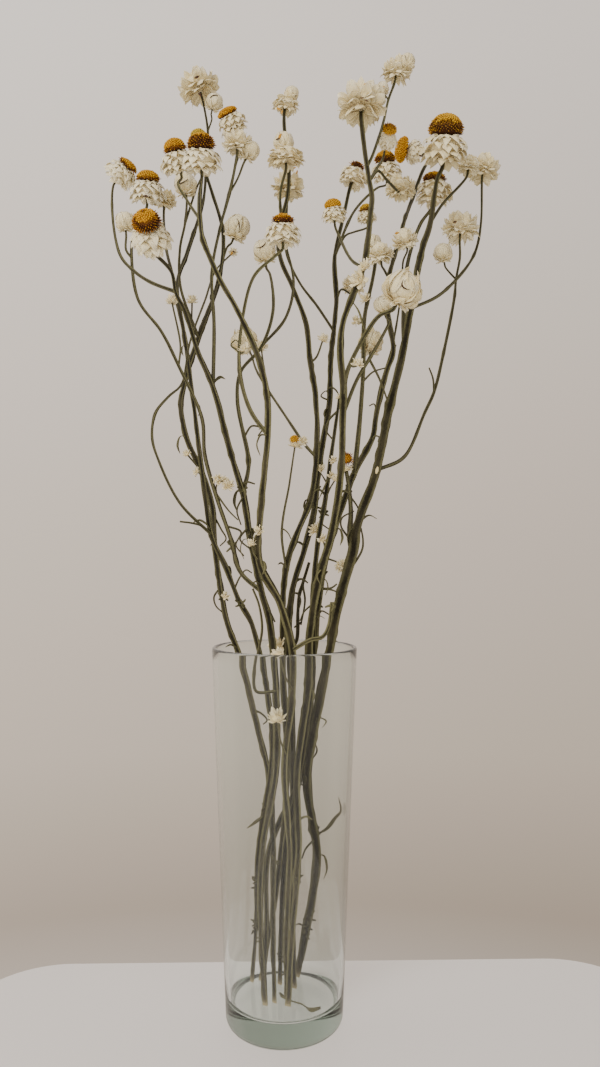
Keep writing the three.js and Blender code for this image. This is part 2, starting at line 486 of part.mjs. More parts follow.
// A solid built up +Z moved so that it stands at a place and faces along an axis
function placed(solid, place, axis) {
  const facing = new THREE.Quaternion().setFromUnitVectors(UP, axis);
  const matrix = new THREE.Matrix4().compose(place, facing, new THREE.Vector3(1, 1, 1));
  return solid.transform(matrix.elements);
}

function meshOf(name, solid, look) {
  const { vertProperties, triVerts } = solid.getMesh();
  const geometry = new THREE.BufferGeometry();
  geometry.setAttribute('position', new THREE.BufferAttribute(new Float32Array(vertProperties), 3));
  geometry.setIndex(new THREE.BufferAttribute(new Uint32Array(triVerts), 1));
  geometry.computeVertexNormals();
  const mesh = new THREE.Mesh(geometry, new THREE.MeshStandardMaterial(look));
  mesh.name = name;
  return mesh;
}

// The vase: a slightly flared cylinder with a thick floor, a rounded foot and a rounded lip
function vase() {
  const lean = (RIM_RADIUS - BASE_RADIUS) / VASE_HEIGHT;
  const outer = (z) => BASE_RADIUS + lean * z;
  const arc = (cx, cz, radius, from, to, steps) => Array.from({ length: steps + 1 }, (_, i) => {
    const angle = THREE.MathUtils.degToRad(from + ((to - from) * i) / steps);
    return new THREE.Vector2(cx + radius * Math.cos(angle), cz + radius * Math.sin(angle));
  });
  const lip = WALL / 2;
  const inside = outer(FLOOR_THICKNESS) - WALL;
  const profile = [
    new THREE.Vector2(0, 0),
    ...arc(outer(FOOT_ROUNDING) - FOOT_ROUNDING, FOOT_ROUNDING, FOOT_ROUNDING, -90, 0, 3),
    ...arc(RIM_RADIUS - lip, VASE_HEIGHT - lip, lip, 0, 180, 4),
    ...arc(inside - INNER_ROUNDING, FLOOR_THICKNESS + INNER_ROUNDING, INNER_ROUNDING, 0, -90, 2),
    new THREE.Vector2(0, FLOOR_THICKNESS),
  ];
  const lathe = new THREE.LatheGeometry(profile, VASE_SIDES);
  const points = [];
  const index = new Map();
  const corner = (k) => {
    const [x, y, z] = [0, 1, 2].map((axis) => lathe.attributes.position.array[k * 3 + axis]);
    const key = [x, y, z].map((value) => Math.round(value * 1000)).join();
    if (!index.has(key)) index.set(key, points.push(new THREE.Vector3(x, -z, y)) - 1);
    return index.get(key);
  };
  const triangles = [];
  for (let k = 0; k < lathe.index.count; k += 3) {
    const [a, b, c] = [0, 1, 2].map((n) => corner(lathe.index.array[k + n]));
    if (a !== b && b !== c && c !== a) triangles.push([a, b, c]);
  }
  return body(points, triangles);
}

const bunch = new THREE.Group();
bunch.add(meshOf('vase', vase(), CLEAR));

// The heads of one stem: each stands a small gap off its stalk's tip, and its disc a gap off it
function addHead(bloom, tip, seed, stalks) {
  const axis = new THREE.Vector3(...bloom.axis).normalize();
  const large = bloom.radius > LARGE_HEAD;
  const scales = bloom.fused ? 6 : 7;
  const bracts = bloom.kind === 'ball' ? scales : 8 + large + (bloom.radius > LARGEST_HEADS);
  const rows = LAYERS[bloom.kind].filter((_, i) => bloom.kind === 'ball' || large || i !== 1);
  const head = bractHead(bloom.kind, bloom.radius, bracts, rows, seed);
  if (bloom.fused) {
    stalks.push(placed(head, tip.clone().addScaledVector(axis, -SINK), axis));
    return;
  }
  const foot = tip.clone().addScaledVector(axis, GAP);
  let solid = placed(head, foot, axis);
  if (bloom.disc) {
    const height = TOP.skirt * bloom.radius + (bloom.joined ? -GAP : GAP);
    const florets = bloom.disc > LARGE_DISC ? 12 : 8;
    const dome = floretDisc(bloom.disc, florets, bloom.rise);
    const disc = placed(dome, foot.clone().addScaledVector(axis, height), axis);
    if (bloom.joined) solid = solid.add(disc);
    else bunch.add(meshOf(`disc_${bloom.name}`, disc, GOLD));
  }
  bunch.add(meshOf(`bloom_${bloom.name}`, solid, IVORY));
}

let seed = SEED;
for (const [name, stem] of Object.entries(STEMS)) {
  const draw = draws(seed);
  const solids = [];
  const grow = (piece, section) => {
    const points = vectors(piece.route);
    const tip = points[points.length - 1];
    if (piece.bloom) {
      const facing = new THREE.Vector3(...piece.bloom.axis).normalize();
      points.splice(-1, 0, tip.clone().addScaledVector(facing, -NECK));
    }
    const main = section === WINGED;
    const radii = taper(points, piece.thick, piece.thin, main);
    solids.push(rod(points, radii, section, main ? 'cut' : ''));
    seed += 1;
    if (piece.bloom) addHead(piece.bloom, tip, seed, solids);
    if (piece.bud) {
      const axis = tip.clone().sub(points[points.length - 2]).normalize();
      const rows = piece.bud > LARGE_BUD ? [LAYERS.spread[1], LAYERS.spread[3]] : [LAYERS.spread[3]];
      const small = bractHead('spread', piece.bud, 5, rows, seed);
      solids.push(placed(small, tip.clone().addScaledVector(axis, -SINK), axis));
    }
  };
  grow(stem, WINGED);
  for (const twig of stem.twigs) grow(twig, THREE_EDGED);
  for (const [step, degrees, length] of stem.leaves) {
    solids.push(leaf(new THREE.Vector3(...stem.route[step]), degrees, length, draw));
  }
  bunch.add(meshOf(name, wasm.Manifold.union(solids), OLIVE));
}

export default bunch;
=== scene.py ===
"""A bunch of dried winged everlasting standing in a tall clear glass vase.

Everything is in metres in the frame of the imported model: the origin is the centre of the vase's flat
underside, +Z is up, +X is to the right and +Y is to the back. The tables below are in millimetres,
apart from shares, angles and points of the picture.
"""
import functools
import math
import random

import bpy
import numpy as np
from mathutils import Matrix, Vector


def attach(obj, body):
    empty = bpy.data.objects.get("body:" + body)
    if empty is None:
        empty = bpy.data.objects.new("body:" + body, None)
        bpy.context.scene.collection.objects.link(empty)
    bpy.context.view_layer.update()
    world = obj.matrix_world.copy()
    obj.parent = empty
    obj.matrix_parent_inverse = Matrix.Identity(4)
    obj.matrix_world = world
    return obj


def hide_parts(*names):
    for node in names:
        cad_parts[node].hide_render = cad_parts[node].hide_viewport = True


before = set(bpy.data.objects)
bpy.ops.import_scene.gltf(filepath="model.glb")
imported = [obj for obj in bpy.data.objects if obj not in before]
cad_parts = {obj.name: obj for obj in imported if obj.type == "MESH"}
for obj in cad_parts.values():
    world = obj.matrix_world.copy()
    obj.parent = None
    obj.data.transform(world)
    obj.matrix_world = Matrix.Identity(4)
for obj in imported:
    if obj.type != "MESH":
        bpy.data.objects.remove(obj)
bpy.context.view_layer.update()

MM = 0.001

# The vase
VASE_HEIGHT = 250
RIM_RADIUS = 48.8
BASE_RADIUS = 38.9
WALL = 2.8
FLOOR_THICKNESS = 17
FOOT_ROUNDING = 7
INNER_ROUNDING = 5
VASE_SIDES = 144

# The plant
GAP = 0.3  # between touching pieces
CUT_END = FLOOR_THICKNESS + GAP  # height at which the cut stems stand
WING = 1.32  # a wing's reach, in stem radii
GROOVE = 0.62  # depth of the groove between two wings, in stem radii
LEAF_WIDTH = 1.25  # half the width of a shrivelled leaf
NECK = 4  # length of the stalk's straight neck under a head
SINK = 0.2  # how far fused pieces stand in each other
THICKEST = 0.35  # share of its length at which a main stem is thickest
CUT_SHARE = 0.75  # its radius at the cut end, in largest radii
SEED = 11
HEAD_SEEDS, STALK_SEEDS = 7919, 104729  # how far apart the seeds of heads and of stalks are


def branch(thick, thin, route, **grows):
    """A main stem or twig: its radii at its two ends, its line, and what grows on it."""
    return {"thick": thick, "thin": thin, "route": route, **grows}


def flower(kind, axis, radius, **more):
    """A head: its kind, the way it faces, its radius, and what else is known of it."""
    return {"kind": kind, "axis": axis, "radius": radius, **more}


# One main stem each: its radii at the cut end and at the top, and its line from the vase's floor to the
# bloom on its tip. A twig starts on its stem's line. Leaves are [step of the route, direction round the
# stem in degrees, length].
STEMS = {
    "stem_1": branch(
        2.1, 1.05, [[-6, -9, CUT_END], [-7, -7, 63], [-7, -1, 114], [-11, 6, 165], [-17, 8, 189],
        [-31, 14, 242], [-40, 17, 266], [-49, 27, 313], [-52, 33, 347], [-60, 38, 371], [-72, 44, 397],
        [-77, 49, 422], [-74, 52, 440], [-65, 56, 473], [-53, 60, 508], [-48, 61, 532], [-47, 58, 553],
        [-53, 52, 575], [-62, 35, 604]],
        bloom=flower("skirt", [-0.1, -0.1, 0.98], 8.6, name="5b", disc=5.4, rise=1.2, joined=True),
        twigs=[
            branch(1.05, 0.8, [[-65, 56, 473], [-76, 38, 505], [-75, 26, 529], [-71, 23, 546],
                  [-70, 21, 566]], bloom=flower("ball", [-0.1, -0.15, 0.98], 8.4, name="9")),
            branch(0.8, 0.65, [[-71, 23, 546], [-63, 27, 574], [-59, 29, 584]], bud=3),
            branch(0.9, 0.8, [[-48, 61, 532], [-44, 58, 542], [-39, 53, 547]],
                  bloom=flower("ball", [0.4, -0.2, 0.9], 9.8, name="12")),
            branch(0.8, 0.65, [[-65, 56, 473], [-69, 52, 479], [-69, 47, 497]], bud=4.5),
            branch(0.65, 0.6, [[-60, 38, 371], [-65, 35, 377], [-70, 33, 383]], bud=3.5),
        ],
        leaves=[[10, 200, 14], [14, 160, 9], [7, 120, 10], [5, 190, 12]]
    ),
    "stem_2": branch(
        1.8, 0.75, [[-23, 18, CUT_END], [-20, 14, 53], [-18, 6, 108], [-9, -5, 167], [-8, -3, 191],
        [-13, 0, 230], [-23, 4, 267], [-31, 5, 281], [-40, 8, 303], [-50, 9, 325], [-57, 15, 369],
        [-64, 21, 417], [-71, 34, 461], [-79, 43, 509], [-73, 52, 536], [-62, 58, 577], [-60, 60, 605],
        [-59, 62, 632], [-64, 56, 658]],
        bloom=flower("spread", [-0.28, 0.15, 0.95], 15, name="1"),
        twigs=[
            branch(1, 0.65, [[-50, 9, 325], [-71, 0, 347], [-85, -4, 376], [-89, -5, 391],
                  [-87, -4, 407], [-79, 1, 419], [-71, 8, 429], [-67, 18, 459], [-59, 44, 498],
                  [-53, 69, 529], [-42, 75, 543]], bud=4),
            branch(0.7, 0.65, [[-59, 62, 632], [-56, 60, 640], [-55, 55, 645]],
                  bloom=flower("ball", [0.3, -0.3, 0.9], 6.6, fused=True)),
            branch(0.9, 0.6, [[-50, 9, 325], [-56, 4, 331], [-62, -2, 333], [-70, -6, 334]]),
        ],
        leaves=[[9, 185, 17], [8, 60, 10], [12, 200, 8], [11, 30, 9]]
    ),
    "stem_3": branch(
        2.3, 0.9, [[-12, -12, CUT_END], [-15, -8, 64], [-14, -6, 115], [-5, -9, 169], [-5, -12, 222],
        [-9, -17, 269], [-14, -19, 287], [-21, -25, 321], [-26, -30, 352], [-32, -34, 372],
        [-44, -44, 418], [-53, -49, 439], [-60, -56, 462], [-65, -60, 472], [-67, -65, 483],
        [-78, -70, 497]],
        bloom=flower("skirt", [-0.08, -0.79, 0.61], 12.5, name="10", disc=7.7, rise=1.25),
        twigs=[
            branch(1.1, 0.8, [[-65, -60, 472], [-83, -48, 482], [-95, -39, 492], [-106, -29, 506],
                  [-114, -16, 539], [-112, -10, 563]], bloom=flower("skirt", [0.67, -0.28, 0.68], 11,
                  name="6", disc=6, rise=0.6)),
            branch(0.9, 0.8, [[-67, -65, 483], [-75, -39, 509], [-81, -6, 548]],
                  bloom=flower("spread", [0.1, -0.1, 0.98], 8.1, name="8")),
            branch(1.15, 0.9, [[-44, -44, 418], [-45, -29, 460], [-48, -13, 501], [-43, 0, 538],
                  [-38, 5, 560], [-32, -4, 587]], bloom=flower("spread", [0.05, -0.05, 0.99], 10.3,
                  fused=True)),
            branch(0.85, 0.7, [[-43, 0, 538], [-36, 22, 584], [-33, 28, 601], [-36, 24, 614]],
                  bloom=flower("skirt", [-0.43, -0.36, 0.83], 10.5, name="2", disc=7, rise=0.6)),
            branch(0.8, 0.65, [[-38, 5, 560], [-32, 3, 570], [-26, -1, 582]],
                  bloom=flower("ball", [0.5, -0.3, 0.8], 6.8, fused=True)),
            branch(1.45, 0.85, [[-14, -19, 287], [-29, -15, 301], [-35, -12, 321], [-45, -11, 350],
                  [-53, -10, 378], [-55, -10, 403], [-70, -14, 437], [-81, -18, 459], [-95, -23, 478],
                  [-98, -31, 503], [-97, -32, 516], [-89, -26, 543]],
                  bloom=flower("skirt", [0.08, -0.25, 0.96], 11.6, name="7", disc=6.8, rise=0.85)),
            branch(0.8, 0.65, [[-98, -31, 503], [-101, -34, 507], [-101, -35, 520]],
                  bloom=flower("ball", [-0.05, -0.1, 0.99], 6.5, fused=True)),
            branch(0.7, 0.6, [[-70, -14, 437], [-69, -13, 451], [-75, -10, 480]], bud=4.5),
            branch(0.65, 0.5, [[-45, -11, 350], [-45, -10, 358], [-41, -10, 361]], bud=3),
            branch(1.45, 0.85, [[-26, -30, 352], [-23, -21, 371], [-31, -13, 414], [-29, -13, 433],
                  [-15, -17, 449], [-7, -23, 472], [-9, -25, 494], [-12, -21, 504]],
                  bloom=flower("ball", [-0.1, -0.3, 0.95], 7.9, name="18")),
            branch(1.05, 0.85, [[-15, -17, 449], [1, -4, 472], [6, 5, 500], [-1, 5, 531], [-3, 0, 558],
                  [1, -4, 577]], bloom=flower("capped", [0.02, -0.1, 0.98], 12.4, name="15")),
            branch(1.1, 0.7, [[-5, -12, 222], [-18, -18, 223], [-19, -21, 238], [-16, -24, 252],
                  [-14, -27, 265], [-16, -29, 280], [-20, -28, 290]]),
        ],
        leaves=[[7, 180, 14], [7, 300, 12], [8, 150, 15], [6, 230, 12], [10, 20, 9]]
    ),
    "stem_4": branch(
        2.35, 1, [[2, -1, CUT_END], [2, -4, 62], [4, -10, 117], [1, -14, 170], [6, -18, 223],
        [6, -21, 250], [-2, -26, 281], [-15, -34, 307], [-14, -42, 337], [-9, -53, 385], [-9, -59, 408],
        [-14, -65, 430], [-27, -70, 459], [-37, -73, 476], [-47, -72, 500], [-49, -69, 512],
        [-50, -66, 526], [-50, -56, 549]],
        bloom=flower("skirt", [0, -0.25, 0.97], 12.2, name="5", disc=7.6, rise=1.1),
        twigs=[
            branch(0.9, 0.8, [[-49, -69, 512], [-60, -49, 533], [-67, -40, 547], [-67, -31, 560]],
                  bloom=flower("skirt", [-0.22, -0.3, 0.93], 11.5, name="4", disc=6.4, rise=1.15)),
            branch(1.3, 0.85, [[-9, -53, 385], [-20, -51, 401], [-27, -48, 426], [-26, -47, 455],
                  [-18, -55, 483], [-5, -62, 493], [0, -62, 502]],
                  bloom=flower("skirt", [0, -0.15, 0.98], 11.2, name="17", disc=5.75, rise=0.85)),
            branch(0.65, 0.5, [[-15, -34, 307], [-19, -37, 313], [-20, -38, 318]], bud=3.5),
            branch(0.65, 0.5, [[6, -18, 223], [2, -24, 231], [-3, -27, 246]], bud=5),
            branch(0.65, 0.5, [[2, -15, 180], [-2, -21, 191], [-4, -24, 205]], bud=6.5),
            branch(1.3, 1, [[6, -21, 250], [10, -25, 253], [17, -27, 257], [25, -26, 259],
                  [29, -24, 266], [31, -22, 281]]),
        ],
        leaves=[[9, 190, 14], [9, 150, 10], [7, 330, 9]]
    ),
    "stem_5": branch(
        2, 1.1, [[-17, 20, CUT_END], [-10, 13, 54], [-2, 4, 111], [2, 2, 166], [0, 5, 220],
        [-1, 6, 247], [1, 9, 301], [8, 10, 324], [18, 13, 349], [22, 15, 379], [22, 17, 420],
        [18, 17, 446], [15, 17, 474], [6, 18, 498], [-3, 21, 521], [-4, 22, 538], [2, 20, 565],
        [3, 17, 582], [0, 18, 608], [0, 17, 625]],
        bloom=flower("capped", [0.12, -0.1, 0.98], 9.7, name="14"),
        twigs=[
            branch(0.85, 0.6, [[1, 9, 301], [-2, 2, 327], [3, -2, 358], [7, -6, 384]], bud=6),
            branch(1.05, 0.7, [[22, 15, 379], [14, 22, 389], [-2, 40, 415], [-17, 57, 440],
                  [-23, 66, 452], [-29, 83, 470]], bloom=flower("ball", [-0.4, -0.2, 0.88], 9.8,
                  name="20")),
            branch(0.7, 0.6, [[-17, 57, 440], [-17, 65, 452], [-19, 70, 468]], bud=6),
            branch(0.8, 0.6, [[18, 17, 446], [22, 13, 449], [26, 9, 459]], bud=4.5),
        ],
        leaves=[[6, 160, 8], [11, 60, 9], [8, 190, 10]]
    ),
    "stem_6": branch(
        2.4, 1.2, [[7, 10, CUT_END], [6, 12, 56], [7, 14, 110], [6, 18, 163], [5, 18, 218],
        [3, 20, 245], [5, 25, 284], [14, 31, 315], [21, 36, 342], [25, 42, 379], [32, 49, 418],
        [34, 53, 460], [36, 55, 477], [38, 57, 502], [37, 58, 536], [44, 56, 567], [49, 52, 588]],
        bloom=flower("skirt", [0.3, -0.05, 0.95], 11.8, name="29", disc=4.8, rise=0.7),
        twigs=[
            branch(1, 0.8, [[37, 58, 536], [50, 47, 564], [65, 30, 574], [71, 17, 576]],
                  bloom=flower("skirt", [-0.1, -0.25, 0.96], 10.4, name="28", disc=6.3, rise=1.15)),
            branch(0.8, 0.65, [[38, 57, 502], [42, 64, 512], [51, 74, 515]],
                  bloom=flower("spread", [0.1, 0, 0.98], 9, name="39")),
            branch(1, 0.8, [[36, 55, 477], [23, 49, 495], [10, 47, 512], [0, 44, 535], [1, 43, 567],
                  [1, 42, 577]], bloom=flower("spread", [0.12, 0.1, 0.98], 12.3, name="16")),
            branch(0.8, 0.65, [[37, 58, 536], [44, 52, 548], [50, 44, 548], [59, 36, 553]],
                  bloom=flower("skirt", [-0.1, -0.2, 0.96], 7.1, name="31", disc=4.3, rise=1.1,
                  joined=True)),
            branch(0.65, 0.5, [[14, 31, 315], [18, 28, 325], [22, 26, 330]], bud=4),
            branch(1.4, 1, [[3, 20, 245], [8, 27, 251], [9, 31, 271], [10, 32, 283], [13, 32, 293],
                  [17, 33, 306]]),
        ],
        leaves=[[8, 240, 11], [10, 200, 8], [6, 30, 12], [7, 200, 9]]
    ),
    "stem_7": branch(
        2.5, 1.2, [[3, -13, CUT_END], [6, -15, 67], [10, -11, 117], [9, -7, 168], [16, -10, 222],
        [18, -14, 265], [23, -19, 295], [32, -25, 328], [37, -32, 363], [38, -39, 401], [38, -43, 413],
        [37, -48, 453], [50, -51, 490], [55, -47, 525], [56, -47, 535], [54, -48, 546], [51, -52, 562],
        [48, -62, 582]],
        bloom=flower("spread", [0.05, 0.12, 0.99], 15.1, name="23"),
        twigs=[
            branch(1.05, 0.8, [[54, -48, 546], [60, -39, 556], [66, -29, 555], [74, -12, 556],
                  [79, 1, 558]], bloom=flower("spread", [0.05, -0.2, 0.96], 10.9, name="33")),
            branch(1, 0.7, [[52.5, -50, 554], [56, -48, 562], [64, -39, 589], [67, -36, 603],
                  [72, -35, 619]], bloom=flower("spread", [0.2, -0.1, 0.97], 9.8, name="22")),
            branch(1.5, 1.1, [[38, -43, 413], [40, -47, 426], [51, -61, 447], [58, -70, 455],
                  [67, -79, 460]], bloom=flower("ball", [0.35, -0.5, 0.75], 10.8, name="38")),
            branch(1.2, 0.9, [[38, -39, 401], [47, -31, 424], [58, -27, 443], [68, -32, 462],
                  [64, -39, 466]], bloom=flower("ball", [-0.35, -0.3, 0.88], 5.8, fused=True)),
            branch(0.6, 0.5, [[67, -36, 603], [65, -36, 606], [64, -35, 608]],
                  bloom=flower("ball", [-0.2, -0.3, 0.93], 4.2, fused=True)),
            branch(1, 0.85, [[50, -51, 490], [44, -39, 498], [37, -8, 525], [34, 3, 541]],
                  bloom=flower("skirt", [-0.12, -0.2, 0.96], 8.6, name="30", disc=5.4, rise=0.95,
                  joined=True)),
            branch(0.85, 0.7, [[54, -48, 546], [60, -38, 559], [65, -22, 572], [66, -31, 577]],
                  bloom=flower("skirt", [0.12, -0.82, 0.55], 8.5, name="25", disc=4.5, rise=0.9)),
        ],
        leaves=[[6, 0, 11], [5, 20, 10], [7, 340, 12], [4, 330, 9]]
    ),
    "stem_8": branch(
        2.1, 1, [[-3, 15, CUT_END], [-2, 13, 56], [1, 11, 111], [11, 2, 165], [18, -1, 221],
        [20, -1, 248], [20, 0, 288], [23, 2, 320], [28, 5, 350], [32, 7, 378], [38, 14, 420]],
        bud=3.5,
        twigs=[
            branch(0.65, 0.5, [[28, 5, 350], [31, 1, 357], [34, 0, 362]], bud=3.5),
        ],
        leaves=[[10, 150, 14], [8, 200, 10], [7, 20, 9]]
    ),
    "stem_9": branch(
        2.2, 0.85, [[-14, 5, CUT_END], [-12, 4, 59], [-10, 7, 111], [13, 13, 164], [19, 14, 219],
        [23, 16, 270], [29, 19, 309], [39, 23, 341], [49, 27, 368], [63, 30, 396], [65, 31, 409],
        [73, 29, 443], [77, 26, 456], [73, 21, 481], [73, 18, 505], [80, 21, 531], [85, 23, 549],
        [91, 33, 566], [97, 31, 583], [101, 10, 588], [98, -5, 584], [90, -8, 582]],
        bloom=flower("skirt", [-0.95, -0.2, 0.1], 9.2, name="27", disc=8, rise=0.75),
        twigs=[
            branch(0.9, 0.7, [[73, 18, 505], [68, 6, 508], [65, -6, 511]],
                  bloom=flower("spread", [-0.1, -0.2, 0.96], 9.4, name="37")),
            branch(1.9, 1.2, [[49, 27, 368], [54, 40, 409], [57, 47, 447], [58, 48, 486], [63, 36, 511],
                  [64, 26, 520], [62, 18, 526]], bloom=flower("ball", [-0.1, -0.3, 0.95], 5.9,
                  fused=True)),
            branch(0.7, 0.65, [[57, 47, 447], [60, 53, 454], [63, 60, 464]],
                  bloom=flower("ball", [0.1, 0, 0.98], 8.8, fused=True)),
            branch(0.85, 0.65, [[63, 30, 396], [68, 43, 430], [78, 42, 464], [82, 18, 501], [81, 3, 512],
                  [81, -12, 519]], bloom=flower("ball", [-0.3, -0.5, 0.8], 9, name="36")),
            branch(0.65, 0.5, [[29, 19, 309], [37, 15, 306], [38, 11, 304]], bud=4.5),
        ],
        leaves=[[8, 250, 10], [12, 60, 9], [5, 100, 10]]
    ),
    "stem_10": branch(
        3.2, 1.35, [[9, 26, CUT_END], [15, 22, 49], [23, 15, 105], [16, 4, 158], [25, -2, 217],
        [31, -4, 248], [38, -6, 283], [46, -9, 312], [48, -10, 328], [60, -12, 361], [62, -12, 368],
        [70, -14, 407], [79, -17, 447], [84, -18, 474], [91, -22, 512], [96, -25, 529], [99, -31, 553],
        [103, -32, 566]],
        bloom=flower("skirt", [0.04, -0.25, 0.96], 15.4, name="26", disc=10.2, rise=1.15),
        twigs=[
            branch(1.25, 0.85, [[62, -12, 368], [81, -2, 378], [96, 6, 409], [103, 10, 424],
                  [110, 13, 451], [118, 14, 491], [119, 13, 503], [121, 9, 517], [121, 8, 533]],
                  bloom=flower("spread", [0.05, -0.05, 0.98], 13.1, name="35")),
            branch(0.7, 0.65, [[119, 13, 503], [113, 8, 507], [109, 3, 513]],
                  bloom=flower("ball", [-0.2, -0.3, 0.93], 6.8, fused=True)),
            branch(0.8, 0.5, [[103, 10, 424], [102, 8, 433], [99, 6, 440]]),
            branch(1.1, 0.8, [[84, -18, 474], [103, -9, 485], [124, 6, 508], [134, 16, 526],
                  [137, 15, 544], [137, 10, 575]], bloom=flower("spread", [0.1, 0.1, 0.98], 11.8,
                  name="34a")),
            branch(1.05, 0.8, [[96, -25, 529], [104, -20, 542], [123, -9, 570]],
                  bloom=flower("spread", [0.1, 0, 0.98], 8.1, name="34b")),
            branch(1.5, 1.1, [[79, -17, 447], [81, 0, 477], [85, 8, 514], [94, 10, 541], [103, 12, 558]],
                  bloom=flower("skirt", [0.05, -0.15, 0.98], 13, name="32", disc=7.2, rise=0.8)),
            branch(1.8, 1.2, [[46, -9, 312], [44, -2, 322], [45, 3, 341], [44, 6, 357], [42, 4, 369]],
                  bud=5),
        ],
        leaves=[[8, 10, 16], [8, 200, 12], [2, 320, 17], [5, 60, 9], [1, 180, 10]]
    ),
}

# Dry curls and shreds on the stems, as points of the picture (600 by 1067) that begin on a stem:
# (radius, points)
CURLS = (
    (0.7, ((352, 574), (362, 550), (363, 540), (361, 528))), (0.55, ((352, 495), (358, 508), (360, 520))),
    (0.6, ((346, 541), (341, 526), (342, 518), (354, 511))), (0.7, ((324, 588), (331, 588), (337, 584))),
    (0.65, ((325, 588), (332, 590), (337, 592))), (0.65, ((317, 615), (322, 611), (330, 615))),
    (0.7, ((288, 598), (294, 593), (300, 595))), (0.7, ((295, 584), (299, 579), (304, 580))),
    (0.65, ((277, 530), (283, 529), (288, 533), (291, 539))),
    (0.7, ((303, 576), (303, 585), (305, 600), (301, 625))), (0.7, ((297, 581), (302, 579), (308, 583))),
    (0.55, ((310, 604), (304, 612), (300, 621))), (0.6, ((217, 589), (214, 597), (216, 606), (222, 612))),
    (0.55, ((236, 587), (240, 577), (246, 570), (252, 573))), (0.7, ((270, 606), (271, 614), (275, 622))),
    (0.6, ((216, 517), (221, 529), (226, 539), (220, 546))), (0.55, ((222, 495), (229, 511), (238, 520))),
    (0.55, ((232, 497), (237, 510), (241, 525))), (0.6, ((232, 524), (241, 532), (236, 545), (244, 556))),
    (0.6, ((248, 528), (240, 539), (250, 549))), (0.6, ((317, 506), (325, 511), (321, 522), (330, 530))),
    (0.55, ((325, 402), (321, 396), (326, 391), (329, 396))),
    (0.55, ((370, 415), (376, 410), (374, 404), (369, 406))),
    (0.6, ((371, 440), (375, 436), (379, 437), (378, 442))),
    (0.7, ((338, 410), (329, 420), (326, 430), (333, 440))), (0.7, ((371, 360), (379, 378), (388, 402))),
    (0.65, ((362, 382), (373, 372), (385, 368))), (0.7, ((339, 493), (345, 491), (351, 495))),
    (0.6, ((245, 435), (252, 426), (262, 429), (258, 436))),
    (0.55, ((235, 352), (231, 345), (236, 340), (240, 346))), (0.55, ((275, 345), (271, 337), (277, 331))),
    (0.65, ((240, 485), (247, 482), (255, 484))), (0.65, ((253, 709), (261, 713), (267, 720), (263, 724))),
    (0.65, ((300, 775), (306, 777), (304, 785), (299, 782))), (0.7, ((300, 818), (306, 816), (312, 819))),
    (0.7, ((312, 839), (306, 848), (302, 858))), (0.65, ((248, 921), (255, 925), (262, 931))),
    (0.65, ((252, 930), (257, 923), (263, 920))), (0.55, ((281, 940), (285, 938), (288, 941))),
    (0.55, ((281, 960), (285, 962), (289, 960))),
)
# Shrivelled leaves in the same way: (half width, points)
SHREDS = (
    (1.5, ((319, 742), (317, 750), (313, 758))), (2.0, ((265, 816), (257, 820), (247, 828))),
    (2.2, ((316, 834), (327, 828), (336, 817), (342, 811), (340, 797))),
    (1.3, ((318, 470), (325, 480), (330, 490))), (1.2, ((329, 476), (324, 488), (319, 500))),
    (1.2, ((352, 300), (359, 312), (364, 330))), (1.3, ((320, 568), (317, 576), (322, 586))),
    (1.4, ((240, 488), (245, 490), (246, 497))), (1.2, ((323, 716), (326, 721), (322, 727))),
    (1.2, ((330, 602), (334, 606), (331, 612))),
)
# Where a stalk has a knot with short dry stubs, in the same way: (point, stubs, their length)
KNOTS = (
    ((247, 601), 7, 4.0), ((324, 577), 8, 3.6), ((301, 625), 5, 2.6), ((242, 489), 6, 3.4),
    ((349, 490), 4, 2.6), ((225, 595), 6, 4.2), ((255, 885), 5, 3.4), ((308, 918), 8, 4.4),
    ((303, 912), 5, 3.2), ((331, 605), 5, 4.0), ((257, 881), 6, 3.8), ((258, 922), 7, 4.0),
    ((251, 927), 6, 3.6), ((262, 936), 5, 3.2), ((312, 928), 6, 3.4), ((307, 936), 5, 3.0),
    ((288, 968), 6, 3.0), ((276, 860), 5, 3.2), ((296, 878), 5, 3.0), ((322, 606), 4, 3.0),
    ((236, 545), 7, 4.4), ((243, 536), 6, 4.0), ((322, 515), 6, 4.2), ((318, 488), 5, 3.6),
    ((349, 562), 4, 2.4), ((323, 720), 5, 3.6), ((283, 955), 5, 2.8), ((262, 806), 5, 3.0),
    ((318, 832), 5, 3.4),
)
STUB_RADII = (0.75, 0.4)
# Small pale heads that have dried up among the stems, in the same way: (point, radius)
TUFTS = (
    ((228, 487), 5.0), ((217, 480), 4.2), ((259, 532), 4.0), ((317, 531), 5.2), ((322, 540), 4.0),
    ((225, 597), 3.6), ((357, 366), 4.2), ((355, 322), 4.6), ((366, 301), 5.5), ((361, 281), 6.5),
    ((366, 269), 5.5), ((244, 352), 4.8), ((303, 442), 4.2), ((334, 462), 3.6), ((331, 478), 3.8),
    ((281, 646), 8.0), ((345, 566), 4.5), ((198, 473), 3.6), ((320, 470), 3.8), ((392, 299), 4.0),
)
TUFT_STALK_RADII = (0.6, 0.5)
